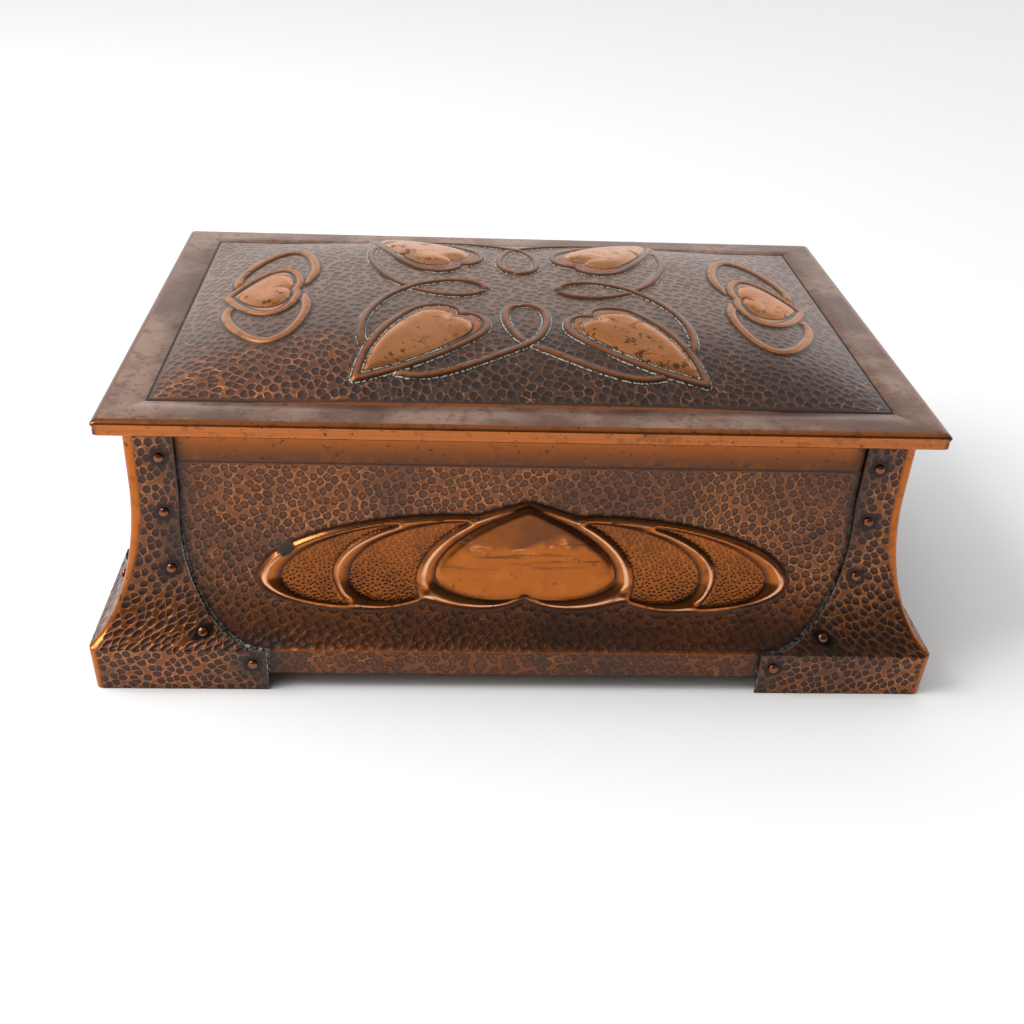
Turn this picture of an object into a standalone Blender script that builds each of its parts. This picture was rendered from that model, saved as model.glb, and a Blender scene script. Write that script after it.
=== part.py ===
"""A copper casket: a hammered sheet casing with a raised heart on its front, a domed lift-off lid with
hearts and a knotted cord, and four riveted corner straps that flare out into feet.

Sizes are in metres. +Z is up, the front faces -Y, and the origin is on the ground below the middle.
"""

import math

import bmesh
import bpy
import numpy as np
from mathutils import Matrix, Vector
from mathutils.geometry import delaunay_2d_cdt

# Overall sizes
LID_LENGTH = 0.300
LID_DEPTH = 0.196
LID_OVERHANG = 0.0078
STRAP_TOP = 0.1037
BASE_CLEARANCE = 0.0075

# Sheet thicknesses and the gaps between neighbours
CASING_SHEET = 0.0012
STRAP_SHEET = 0.0010
LID_SHEET = 0.0012
GAP = 0.0003

# The flare of the walls, a hollow elliptical curve that ends on the band round the foot
FLARE_START = 0.080
FLARE_DROP = 0.0625
FLARE_BULGE = 0.0232
FLARE_STEPS = 6
FOOT_HEIGHT = 0.0192
FOOT_TAPER = 0.0005

# Corner straps, measured from the upright line of the corner
CORNER_RADIUS = 0.0030
STRAP_WIDTH = 0.0182
FOOT_LENGTH = 0.0665
FOOT_END_SLANT = 0.0009
STRAP_SWEEP_RISE = 0.0488
STRAP_SWEEP_STEPS = 8

# Rivets, set back square to the inner edge of the strap
RIVET_HEAD_RADIUS = 0.0019
RIVET_HEAD_HEIGHT = 0.0012
RIVET_SHANK_RADIUS = 0.0009
RIVET_SETBACK = 0.0056
LOW_RIVET_SETBACK = 0.0041
RIVET_TOP_DROP = 0.0120
RIVET_ABOVE_FOOT = 0.0049
RIVET_ROWS = 4
FOOT_RIVET_HEIGHT = 0.0128
RIVET_SIDES = 7

# The smooth strip along the top of the walls, parted off by a chased line
TOP_STRIP = 0.0140
CHASED_WIDTH = 0.0012
CHASED_DEPTH = 0.0004

# The lid's edge: a rounded bead over a groove and a lower band
EDGE_HEIGHT = 0.0060
EDGE_ROUND_WIDTH = 0.0032
EDGE_WIDEST_HEIGHT = 0.0044
EDGE_GROOVE_HEIGHT = 0.0028
EDGE_GROOVE_DEPTH = 0.0008
EDGE_BAND_INSET = 0.0004
EDGE_UNDERSIDE_INSET = 0.0009
EDGE_THICKNESS = 0.0040
LID_CORNER_CUT = 0.0006

# The ledge under the lid that sits on the casing, and the lip that keeps the lid in place
SEAT_MARGIN = 0.0008
LIP_THICKNESS = 0.0012
LIP_DROP = 0.0060
LIP_CLEARANCE = 0.0007

# The domed panel of the lid
RIM_WIDTH = 0.0170
DOME_RISE = 0.0120
DOME_POWER = 4

# Cords and hearts of the lid
CORD_WIDTH = 0.0026
CORD_RISE = 0.0012
DESIGN_SHIFT = 0.0028
HEART_TIP_X = 0.0640
HEART_TIP_Y = 0.0712
HEART_LENGTH = 0.0626
HEART_HALF_WIDTH = 0.0166
HEART_TURN = math.radians(131.3)
INNER_HEART_OFFSET = 0.0036
INNER_HEART_LENGTH = 0.0530
INNER_HEART_HALF_WIDTH = 0.0132
INNER_HEART_RISE = 0.0025
LOOP_NEAR = 0.0172
LOOP_LENGTH = 0.0328
LOOP_HALF_WIDTH = 0.0080
LOOP_END_NEAR = 0.0150
LOOP_END_LENGTH = 0.0310

# The two end motifs of the lid
END_SHIFT = 0.0016
END_TIP_X = 0.1190
END_HEART_LENGTH = 0.0296
END_HEART_HALF_WIDTH = 0.0230
END_INNER_OFFSET = 0.0030
END_INNER_LENGTH = 0.0240
END_INNER_HALF_WIDTH = 0.0172
END_INNER_RISE = 0.0022
END_RING_HALF_WIDTH = 0.0165
END_RING_REACH = 0.0475

# The heart and crescents on the front wall
MOTIF_SHIFT = 0.0028
MOTIF_HALF_LENGTH = 0.1000
MOTIF_HEIGHT = 0.0430
MOTIF_BOTTOM = 0.0317
MOTIF_BAND_RISE = 0.0018
MOTIF_BAND_ROUND = 0.0024
MOTIF_FIELD_RISE = 0.0005
MOTIF_POINT_STEP = 0.0090
FRONT_HEART_LENGTH = 0.0382
FRONT_HEART_HALF_WIDTH = 0.0340
FRONT_HEART_TIP_DROP = 0.0012
FRONT_HEART_RISE = 0.0032

# Points closer than this are one point, and triangles on a border below this area (m2) are left out
WELD = 0.000005
SLIVER = 0.000000001

BODY_HALF_LENGTH = LID_LENGTH / 2 - LID_OVERHANG
BODY_HALF_DEPTH = LID_DEPTH / 2 - LID_OVERHANG
LID_BOTTOM = STRAP_TOP + GAP
LID_TOP = LID_BOTTOM + EDGE_HEIGHT
CASING_OUTER = STRAP_SHEET + GAP
CASING_INNER = CASING_OUTER + CASING_SHEET
HOLE_RADIUS = RIVET_SHANK_RADIUS + GAP
CORNER_INSET = max(CORNER_RADIUS, 2 * CASING_OUTER)


# The profile of the walls
def flare_at(height):
    """How far the flare stands out at a height, on the outside of the straps."""
    drop = min(max(FLARE_START - height, 0.0) / FLARE_DROP, 1.0)
    return FLARE_BULGE * (1.0 - math.sqrt(1.0 - drop * drop))


def profile_levels():
    """(height, flare) from the top of the strap down to the ground."""
    levels = [(STRAP_TOP, 0.0)]
    strip_line = STRAP_TOP - TOP_STRIP
    for height in (strip_line + CHASED_WIDTH / 2, strip_line, strip_line - CHASED_WIDTH / 2):
        levels.append((height, flare_at(height)))
    for step in range(FLARE_STEPS + 1):
        share = 1.0 - (1.0 - step / FLARE_STEPS) ** 1.5
        height = FLARE_START + (FOOT_HEIGHT - FLARE_START) * share
        levels.append((height, flare_at(height)))
    foot_flare = levels[-1][1]
    above_rivet = FOOT_RIVET_HEIGHT + HOLE_RADIUS * 1.5
    for height in (above_rivet, BASE_CLEARANCE, 0.0):
        levels.append((height, foot_flare - FOOT_TAPER * (1.0 - height / FOOT_HEIGHT)))
    return levels


LEVELS = profile_levels()
FIRST_FLARE_LEVEL = 4
BASE_LEVEL = len(LEVELS) - 2


def level_miter(index):
    """The miter vector (outward, up) of the profile at a level, for offsets square to both facets."""
    normals = []
    for first, second in ((index - 1, index), (index, index + 1)):
        if first < 0 or second >= len(LEVELS):
            continue
        rise = LEVELS[first][0] - LEVELS[second][0]
        run = LEVELS[second][1] - LEVELS[first][1]
        normals.append(Vector((rise, run)).normalized())
    if len(normals) == 1:
        return Vector((1.0 / normals[0].x, 0.0))
    total = normals[0] + normals[1]
    return total / (1.0 + normals[0].dot(normals[1]))


MITERS = [level_miter(index) for index in range(len(LEVELS))]


def offset_level(index, depth):
    """(flare, height) of a profile level, moved in by a depth below the straps' outside."""
    height, flare = LEVELS[index]
    miter = MITERS[index]
    return flare - miter.x * depth, height - miter.y * depth


def profile_at(height, depth):
    """(flare, height) on the profile moved in by a depth, for a height on the straps' outside."""
    for index in range(len(LEVELS) - 1):
        upper, lower = LEVELS[index][0], LEVELS[index + 1][0]
        if height >= lower or index == len(LEVELS) - 2:
            share = (upper - height) / (upper - lower)
            top = offset_level(index, depth)
            bottom = offset_level(index + 1, depth)
            return tuple(a + (b - a) * share for a, b in zip(top, bottom))
    return None


def slope_at(height, reach):
    """The outward unit normal (outward, up) of the straps' outside round a height."""
    upper = profile_at(height + reach, 0.0)
    lower = profile_at(height - reach, 0.0)
    return Vector((upper[1] - lower[1], lower[0] - upper[0])).normalized()


# Curves in the plane
def bezier(points, steps):
    """Points along a cubic Bezier, without its last point."""
    start, first, second, end = (np.array(point, dtype=float) for point in points)
    shares = [step / steps for step in range(steps)]
    return [(1 - t) ** 3 * start + 3 * (1 - t) ** 2 * t * first + 3 * (1 - t) * t * t * second
            + t ** 3 * end for t in shares]


def mirrored(points):
    """A run of points and its mirror image across x = 0, joined into a closed line."""
    back = [np.array((-point[0], point[1])) for point in reversed(points[1:-1])]
    return list(points) + back


def heart(length, half_width, shoulder=0.8, steps=7):
    """A closed heart with its tip at the origin and its lobes along +y."""
    cusp = length * 0.94
    widest = length * shoulder
    flank = bezier([(0, 0), (half_width * 0.5, widest * 0.25), (half_width, widest * 0.62),
                    (half_width, widest)], steps)
    lobe = bezier([(half_width, widest), (half_width, widest + (length - widest) * 0.78),
                   (half_width * 0.3, length * 1.05), (0, cusp)], steps)
    return mirrored(flank + lobe + [np.array((0.0, cusp))])


def moved(points, place, angle=0.0, flip_x=1.0, flip_y=1.0):
    """Points turned from +y by an angle, flipped and moved to their place."""
    cosine, sine = math.cos(angle), math.sin(angle)
    result = []
    for x, y in points:
        turned = (x * cosine - y * sine, x * sine + y * cosine)
        result.append(np.array((place[0] + flip_x * turned[0], place[1] + flip_y * turned[1])))
    return result


def smooth_line(points, steps):
    """A Catmull-Rom line through points, with its ends kept."""
    ends = [2 * points[0] - points[1]] + list(points) + [2 * points[-1] - points[-2]]
    line = []
    for before, start, end, after in zip(ends, ends[1:], ends[2:], ends[3:]):
        line += bezier([start, start + (end - before) / 6, end - (after - start) / 6, end], steps)
    return line + [points[-1]]


def offset_line(points, distance, closed):
    """A line beside a line, to the left of its direction."""
    result = []
    last = len(points) - 1
    for index, point in enumerate(points):
        before = points[index - 1] if closed or index > 0 else point
        after = points[(index + 1) % (last + 1)] if closed or index < last else point
        normals = []
        for run in (point - before, after - point):
            size = math.hypot(run[0], run[1])
            if size > 0.0:
                normals.append(np.array((-run[1], run[0])) / size)
        total = sum(normals)
        scale = max(float(total @ total) / len(normals), len(normals) * 0.35)
        result.append(point + total * distance / scale)
    return result


def distance_to(points, line, closed):
    """The distance of each point from a line, as an array."""
    starts = np.array(line if closed else line[:-1])
    ends = np.array(list(line[1:]) + [line[0]] if closed else line[1:])
    runs = ends - starts
    sizes = np.maximum((runs * runs).sum(axis=1), 1e-16)
    away = np.asarray(points, dtype=float)[:, None, :] - starts[None, :, :]
    shares = np.clip((away * runs[None]).sum(axis=2) / sizes[None], 0.0, 1.0)
    nearest = away - shares[:, :, None] * runs[None]
    return np.sqrt((nearest * nearest).sum(axis=2)).min(axis=1)


def inside(points, loop):
    """Which points lie inside a closed line, as an array."""
    loop = np.array(loop)
    points = np.asarray(points, dtype=float)
    crossings = np.zeros(len(points), dtype=int)
    for (x0, y0), (x1, y1) in zip(loop, np.roll(loop, -1, axis=0)):
        spans = (y0 > points[:, 1]) != (y1 > points[:, 1])
        if y0 == y1:
            continue
        meets = x0 + (points[:, 1] - y0) * (x1 - x0) / (y1 - y0)
        crossings += spans & (points[:, 0] < meets)
    return crossings % 2 == 1


def circle(centre, radius, sides=RIVET_SIDES, squash=1.0):
    """A closed circle of points; squash narrows it upwards."""
    turns = [2 * math.pi * (step + 0.5) / sides for step in range(sides)]
    return [np.array((centre[0] + radius * math.cos(turn), centre[1] + radius * math.sin(turn) * squash))
            for turn in turns]


# Sheets cut into triangles along chosen lines
def cut_plane(outline, closed_lines, open_lines, loose_points, holes):
    """Triangles of a flat outline, with their edges along the given lines and its holes left out."""
    points, edges = [], []

    def add(line, closed):
        first = len(points)
        points.extend(Vector((float(x), float(y))) for x, y in line)
        edges.extend((first + k, first + k + 1) for k in range(len(line) - 1))
        if closed:
            edges.append((first + len(line) - 1, first))

    for line in [outline] + closed_lines + holes:
        add(line, True)
    for line in open_lines:
        add(line, False)
    points.extend(Vector((float(x), float(y))) for x, y in loose_points)
    verts, _, faces, _, _, _ = delaunay_2d_cdt(points, edges, [], 0, 1e-7)
    corners = np.array([tuple(vert) for vert in verts])
    triangles = corners[np.array(faces)]
    middles = triangles.mean(axis=1)
    keep = inside(middles, outline)
    for hole in holes:
        keep &= ~inside(middles, hole)
    first, second = triangles[:, 1] - triangles[:, 0], triangles[:, 2] - triangles[:, 0]
    flat = np.abs(first[:, 0] * second[:, 1] - first[:, 1] * second[:, 0]) < SLIVER
    on_outline = distance_to(corners, outline, True) < WELD
    keep &= ~(flat & on_outline[np.array(faces)].all(axis=1))
    return corners, [tuple(face) for face, kept in zip(faces, keep) if kept]


def border_edges(faces):
    """The edges that belong to one triangle only, each in its triangle's direction."""
    seen = {}
    for face in faces:
        for start, end in zip(face, face[1:] + face[:1]):
            seen[(start, end)] = True
    return [edge for edge in seen if (edge[1], edge[0]) not in seen]


class Shell:
    """Collects faces by their corners and welds them into one closed body."""

    def __init__(self):
        self.bm = bmesh.new()

    def face(self, corners):
        verts = [self.bm.verts.new(corner) for corner in corners]
        self.bm.faces.new(verts)

    def strip(self, first, second, closed=True):
        """A band of faces between two rows of as many points."""
        count = len(first) if closed else len(first) - 1
        for index in range(count):
            after = (index + 1) % len(first)
            self.face([first[index], first[after], second[after], second[index]])

    def finish(self, name, triangulate=True):
        bm = self.bm
        bmesh.ops.remove_doubles(bm, verts=bm.verts, dist=WELD)
        bmesh.ops.dissolve_degenerate(bm, edges=bm.edges, dist=WELD)
        if triangulate:
            bmesh.ops.triangulate(bm, faces=bm.faces)
        bmesh.ops.recalc_face_normals(bm, faces=bm.faces)
        mesh = bpy.data.meshes.new(name)
        bm.to_mesh(mesh)
        bm.free()
        return mesh


def sheet_faces(shell, outer, inner, faces, rims):
    """Two sides of a sheet from the same triangles, closed along the borders that rims accepts."""
    for face in faces:
        shell.face([outer[index] for index in face])
        shell.face([inner[index] for index in reversed(face)])
    for start, end in border_edges(faces):
        if rims(start, end):
            shell.face([outer[end], outer[start], inner[start], inner[end]])


# Corner straps
def strap_edge(height):
    """How far the inner edge of the strap lies from the corner at a height."""
    sweep_top = FOOT_HEIGHT + STRAP_SWEEP_RISE
    if height >= sweep_top:
        return STRAP_WIDTH
    if height <= FOOT_HEIGHT:
        return FOOT_LENGTH
    sine = 1.0 - (height - FOOT_HEIGHT) / STRAP_SWEEP_RISE
    return FOOT_LENGTH - (FOOT_LENGTH - STRAP_WIDTH) * math.sqrt(1.0 - sine * sine)


def strap_leg_outline():
    """The inner edge of one leg from the top down to the ground, as (distance, height)."""
    line = [(STRAP_WIDTH, STRAP_TOP)]
    for step in range(STRAP_SWEEP_STEPS + 1):
        turn = 0.5 * math.pi * step / STRAP_SWEEP_STEPS
        distance = FOOT_LENGTH - (FOOT_LENGTH - STRAP_WIDTH) * math.cos(turn)
        line.append((distance, FOOT_HEIGHT + STRAP_SWEEP_RISE * (1.0 - math.sin(turn))))
    line.append((FOOT_LENGTH - FOOT_END_SLANT, 0.0))
    return line


def rivet_distance(height, setback=RIVET_SETBACK):
    """How far from the corner a rivet lies so that it keeps its setback from the strap's edge."""
    edge = [np.array(point) for point in strap_leg_outline()]
    near, far = CORNER_INSET, strap_edge(height)
    for _ in range(30):
        middle = (near + far) / 2
        if distance_to([(middle, height)], edge, False)[0] > setback:
            near = middle
        else:
            far = middle
    return near


def rivet_places():
    """(distance from the corner, height) of the rivets of one leg."""
    top = STRAP_TOP - RIVET_TOP_DROP
    bottom = FOOT_HEIGHT + RIVET_ABOVE_FOOT
    heights = [top + (bottom - top) * row / (RIVET_ROWS - 1) for row in range(RIVET_ROWS)]
    places = [(rivet_distance(height), height) for height in heights[:-1]]
    places.append((rivet_distance(bottom, LOW_RIVET_SETBACK), bottom))
    places.append((rivet_distance(FOOT_RIVET_HEIGHT), FOOT_RIVET_HEIGHT))
    return places


def rivet_hole(distance, height):
    """The hole for a rivet, drawn so that it comes out round on the sloping wall."""
    return circle((distance, height), HOLE_RADIUS, squash=slope_at(height, HOLE_RADIUS).x)


def strap_point(across, height, depth):
    """A point of a strap whose corner stands at the origin; across is negative on the front leg."""
    flare, up = profile_at(height, depth)
    outside = profile_at(height, 0.0)[0]
    centre = outside - CORNER_INSET
    reach = flare - centre
    if across <= -CORNER_INSET:
        return Vector((outside + across, -flare, up))
    if across >= CORNER_INSET:
        return Vector((flare, across - outside, up))
    turn = math.radians(45.0) * (across / CORNER_INSET - 1.0)
    return Vector((centre + reach * math.cos(turn), -centre + reach * math.sin(turn), up))


def strap_mesh():
    """One strap: a sheet bent round the corner, with a leg and a foot on either face."""
    leg = strap_leg_outline()
    outline = [(-distance, height) for distance, height in leg]
    outline += [(distance, height) for distance, height in reversed(leg)]
    bends = [-CORNER_INSET, -CORNER_INSET / 3, CORNER_INSET / 3, CORNER_INSET]
    lines = [[(bend, STRAP_TOP), (bend, 0.0)] for bend in bends]
    reach = FOOT_LENGTH + STRAP_WIDTH
    for height, _ in LEVELS[FIRST_FLARE_LEVEL:BASE_LEVEL]:
        lines.append([(-reach, height), (reach, height)])
    holes = []
    for distance, height in rivet_places():
        for side in (-1.0, 1.0):
            holes.append([np.array((side * x, y)) for x, y in rivet_hole(distance, height)])
    corners, faces = cut_plane([np.array(point) for point in outline], [], lines, [], holes)
    outer = [strap_point(x, y, 0.0) for x, y in corners]
    inner = [strap_point(x, y, STRAP_SHEET) for x, y in corners]
    shell = Shell()
    sheet_faces(shell, outer, inner, faces, lambda start, end: True)
    return shell.finish("strap")


# The casing
def wall_limit(height, half, depth):
    """Where a wall ends: outside beside the rounded corner, inside in the sharp one."""
    if depth == CASING_INNER:
        return half + profile_at(height, depth)[0]
    return half + profile_at(height, 0.0)[0] - CORNER_INSET


def wall_point(along, height, depth, half_out, side):
    """A point of a wall in the casing's frame: side 0 is the front, then right, back and left."""
    flare, up = profile_at(height, depth)
    out = half_out + flare
    spots = ((along, -out, up), (out, along, up), (-along, out, up), (-out, -along, up))
    return Vector(spots[side])


def casing_levels(above_base=0.0):
    """The profile levels of the casing, from its top edge down to a height above its bottom."""
    return [height for height, _ in LEVELS[:BASE_LEVEL]] + [BASE_CLEARANCE + above_base]


def line_groove(height):
    """How deep the chased line under the top strip lies at a height."""
    away = abs(height - (STRAP_TOP - TOP_STRIP)) / (CHASED_WIDTH / 2)
    return CHASED_DEPTH * max(0.0, 1.0 - away)


def front_motif():
    """The raised figure of the front wall: its outline, its two pairs of fields and its heart."""
    def place(points, side=1.0):
        return [np.array((MOTIF_SHIFT + side * x * MOTIF_HALF_LENGTH,
                          MOTIF_BOTTOM + y * MOTIF_HEIGHT)) for x, y in points]

    run = bezier([(0, 1), (0.07, 0.96), (0.14, 0.89), (0.20, 0.86)], 3)
    run += bezier([(0.20, 0.86), (0.50, 0.90), (0.98, 0.66), (1.0, 0.28)], 9)
    run += bezier([(1.0, 0.28), (1.01, 0.08), (0.78, 0), (0.56, 0)], 6)
    run += bezier([(0.56, 0), (0.50, 0), (0.43, 0.04), (0.38, 0.09)], 2)
    run += bezier([(0.38, 0.09), (0.32, 0.04), (0.25, 0.01), (0.17, 0.01)], 3)
    run += bezier([(0.17, 0.01), (0.10, 0.01), (0.04, 0.05), (0, 0.115)], 3)
    outline = place(mirrored(run + [np.array((0, 0.115))]))

    near = bezier([(0.22, 0.81), (0.40, 0.82), (0.663, 0.59), (0.663, 0.30)], 6)
    near += bezier([(0.663, 0.30), (0.663, 0.10), (0.55, 0.02), (0.40, 0.11)], 5)
    near += bezier([(0.40, 0.11), (0.445, 0.35), (0.37, 0.61), (0.22, 0.81)], 6)
    far = bezier([(0.48, 0.78), (0.70, 0.73), (0.916, 0.47), (0.916, 0.29)], 6)
    far += bezier([(0.916, 0.29), (0.916, 0.12), (0.80, 0.05), (0.665, 0.05)], 4)
    far += bezier([(0.665, 0.05), (0.775, 0.33), (0.73, 0.57), (0.48, 0.78)], 6)
    fields = [place(loop, side) for side in (-1.0, 1.0) for loop in (near, far)]

    tip = (MOTIF_SHIFT, MOTIF_BOTTOM + MOTIF_HEIGHT - FRONT_HEART_TIP_DROP)
    heart_line = moved(heart(FRONT_HEART_LENGTH, FRONT_HEART_HALF_WIDTH, 0.74), tip, 0.0, 1.0, -1.0)
    return outline, fields, heart_line


def pillow(points, loop, rise, full_reach):
    """The height of a cushion that swells inside a closed line."""
    reach = np.clip(distance_to(points, loop, True) / full_reach, 0.0, 1.0)
    return np.where(inside(points, loop), rise * np.sqrt(1.0 - (1.0 - reach) ** 2), 0.0)


def front_relief(points, motif):
    """How far the front motif stands out of the wall at each point."""
    outline, fields, heart_line = motif
    edge = distance_to(points, outline, True)
    sunk = np.zeros(len(points), dtype=bool)
    for loop in fields + [heart_line]:
        edge = np.minimum(edge, distance_to(points, loop, True))
        sunk |= inside(points, loop)
    reach = np.clip(edge / MOTIF_BAND_ROUND, 0.0, 1.0)
    band = MOTIF_FIELD_RISE + (MOTIF_BAND_RISE - MOTIF_FIELD_RISE) * np.sqrt(1.0 - (1.0 - reach) ** 2)
    height = np.where(sunk, MOTIF_FIELD_RISE, band)
    swell = pillow(points, heart_line, FRONT_HEART_RISE - MOTIF_FIELD_RISE, FRONT_HEART_HALF_WIDTH * 0.4)
    on_outline = distance_to(points, outline, True) < WELD
    return np.where(inside(points, outline) & ~on_outline, height + swell, 0.0)


def spaced_points(low, high, step):
    """A grid of points over a rectangle, each other row moved by half a step."""
    rows = int((high[1] - low[1]) / (step * 0.87)) + 1
    columns = int((high[0] - low[0]) / step) + 1
    return [np.array((low[0] + (column + 0.5 * (row % 2)) * step, low[1] + row * step * 0.87))
            for row in range(rows) for column in range(columns)]


def clear_of(points, lines, distance):
    """The points that keep a distance from every closed line."""
    keep = np.ones(len(points), dtype=bool)
    for line in lines:
        keep &= distance_to(points, line, True) > distance
    return [point for point, kept in zip(points, keep) if kept]


def outward(loop, distance):
    """A closed line moved outwards, whichever way round it runs."""
    x, y = np.array(loop).T
    turn = float((x * np.roll(y, -1) - y * np.roll(x, -1)).sum())
    return offset_line(loop, -distance if turn > 0.0 else distance, True)


def apart(points, distance):
    """The points in order, without those too close to one already kept."""
    kept = []
    for point in points:
        if all(abs(point - other).max() > distance for other in kept):
            kept.append(point)
    return kept


def motif_points(motif):
    """Loose points on the crests of the front motif's bands and over its heart and fields."""
    outline, fields, heart_line = motif
    lines = [outline, heart_line] + fields
    crest = MOTIF_BAND_ROUND * 0.6
    crests = outward(outline, -crest) + outward(outline, -3 * crest) + outward(heart_line, crest)
    for loop in fields:
        crests += outward(loop, crest)
    crests = [point for point, kept in zip(crests, inside(crests, outline)) if kept]
    for loop in fields + [heart_line]:
        crests = [point for point, sunk in zip(crests, inside(crests, loop)) if not sunk]
    points = clear_of(crests, lines, crest * 0.8)
    points += outward(heart_line, -MOTIF_BAND_ROUND) + outward(heart_line, -3 * MOTIF_BAND_ROUND)
    grid = spaced_points(np.min(outline, axis=0), np.max(outline, axis=0), MOTIF_POINT_STEP)
    for loop in fields + [heart_line]:
        within = [point for point, kept in zip(grid, inside(grid, loop)) if kept]
        points += clear_of(within, [loop], MOTIF_POINT_STEP * 0.4)
    return apart(points, crest)


def wall_holes(half):
    """The rivet holes of one wall, at both of its ends."""
    holes = []
    for distance, height in rivet_places():
        centre = half + profile_at(height, 0.0)[0] - distance
        squash = slope_at(height, HOLE_RADIUS).x
        for side in (-1.0, 1.0):
            holes.append(circle((side * centre, height), HOLE_RADIUS, squash=squash))
    return holes


def level_lines(heights, half, depth, figure):
    """The profile levels across a wall, left out behind a raised figure."""
    lines = []
    for height in heights[1:-1]:
        limit = wall_limit(height, half, depth)
        meets = []
        for start, end in zip(figure, figure[1:] + figure[:1]):
            if (start[1] > height) != (end[1] > height):
                meets.append(start[0] + (end[0] - start[0]) * (height - start[1]) / (end[1] - start[1]))
        if meets:
            lines += [[(-limit, height), (min(meets), height)], [(max(meets), height), (limit, height)]]
        else:
            lines.append([(-limit, height), (limit, height)])
    return lines


def cut_wall(heights, half, depth, closed_lines, points, holes):
    """Triangles of one wall in (along, height), with edges along its profile levels."""
    left = [(-wall_limit(height, half, depth), height) for height in heights]
    right = [(-x, y) for x, y in reversed(left)]
    levels = level_lines(heights, half, depth, closed_lines[0] if closed_lines else [])
    return cut_plane([np.array(point) for point in left + right], closed_lines, levels, points, holes)


def wall_faces(shell, side, half_along, half_out, motif):
    """One wall of the casing: its outside, its inside and the rims of its rivet holes."""
    holes = wall_holes(half_along)
    lines = [motif[0], motif[2]] + motif[1] if motif else []
    points = motif_points(motif) if motif else []
    corners, faces = cut_wall(casing_levels(), half_along, CASING_OUTER, lines, points, holes)
    relief = front_relief(corners, motif) if motif else np.zeros(len(corners))
    outer = [wall_point(x, y, CASING_OUTER + line_groove(y) - rise, half_out, side)
             for (x, y), rise in zip(corners, relief)]
    for face in faces:
        shell.face([outer[index] for index in face])

    inner_corners, inner_faces = cut_wall(casing_levels(CASING_SHEET), half_along, CASING_INNER,
                                         [], [], holes)
    inner = [wall_point(x, y, CASING_INNER, half_out, side) for x, y in inner_corners]
    for face in inner_faces:
        shell.face([inner[index] for index in reversed(face)])

    inner_at = {(round(x, 6), round(y, 6)): spot for (x, y), spot in zip(inner_corners, inner)}
    for start, end in border_edges(faces):
        middle = (corners[start] + corners[end]) / 2
        if any(distance_to([middle], hole, True)[0] < WELD for hole in holes):
            ends = [tuple(round(value, 6) for value in corners[index]) for index in (start, end)]
            shell.face([outer[end], outer[start], inner_at[ends[0]], inner_at[ends[1]]])


def corner_points(height, depth, side):
    """The points round one rounded corner, between the end of a wall and the start of the next."""
    flare, up = profile_at(height, depth)
    centre = profile_at(height, 0.0)[0] - CORNER_INSET
    reach = flare - centre
    signs = ((1, -1), (1, 1), (-1, 1), (-1, -1))[side]
    points = []
    for turn in (0.0, 45.0, 90.0):
        first, second = math.cos(math.radians(turn)), math.sin(math.radians(turn))
        across, along = (second, first) if side % 2 == 0 else (first, second)
        points.append(Vector((signs[0] * (BODY_HALF_LENGTH + centre + reach * across),
                              signs[1] * (BODY_HALF_DEPTH + centre + reach * along), up)))
    return points


def inner_corner(height, side):
    """The sharp corner of the casing's inside at the end of a wall."""
    flare, up = profile_at(height, CASING_INNER)
    side_x, side_y = ((1, -1), (1, 1), (-1, 1), (-1, -1))[side]
    return Vector((side_x * (BODY_HALF_LENGTH + flare), side_y * (BODY_HALF_DEPTH + flare), up))


def casing_mesh():
    """The casing: four walls, rounded corners, a rim and a floor, all of one sheet."""
    shell = Shell()
    walls = ((BODY_HALF_LENGTH, BODY_HALF_DEPTH), (BODY_HALF_DEPTH, BODY_HALF_LENGTH)) * 2
    for side, (half_along, half_out) in enumerate(walls):
        wall_faces(shell, side, half_along, half_out, front_motif() if side == 0 else None)
        rows = [corner_points(height, CASING_OUTER + line_groove(height), side)
                for height in casing_levels()]
        for upper, lower in zip(rows, rows[1:]):
            shell.strip(lower, upper, closed=False)
        before = corner_points(STRAP_TOP, CASING_OUTER, side - 1)[-1]
        corner, inside_corner = rows[0], inner_corner(STRAP_TOP, side)
        shell.face([before, corner[0], inside_corner, inner_corner(STRAP_TOP, side - 1)])
        for start, end in zip(corner, corner[1:]):
            shell.face([start, end, inside_corner])
    base = [corner_points(BASE_CLEARANCE, CASING_OUTER, side) for side in range(4)]
    shell.face([point for points in reversed(base) for point in reversed(points)])
    shell.face([inner_corner(BASE_CLEARANCE + CASING_SHEET, side) for side in range(4)])
    return shell.finish("casing")


# The lid
def dome_at(points):
    """The height of the domed panel above the lid's flat rim at each point."""
    points = np.asarray(points, dtype=float)
    half_length = LID_LENGTH / 2 - RIM_WIDTH
    half_depth = LID_DEPTH / 2 - RIM_WIDTH
    across = 1.0 - np.minimum(np.abs(points[:, 0]) / half_length, 1.0) ** DOME_POWER
    along = 1.0 - np.minimum(np.abs(points[:, 1]) / half_depth, 1.0) ** DOME_POWER
    return DOME_RISE * across * along


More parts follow.
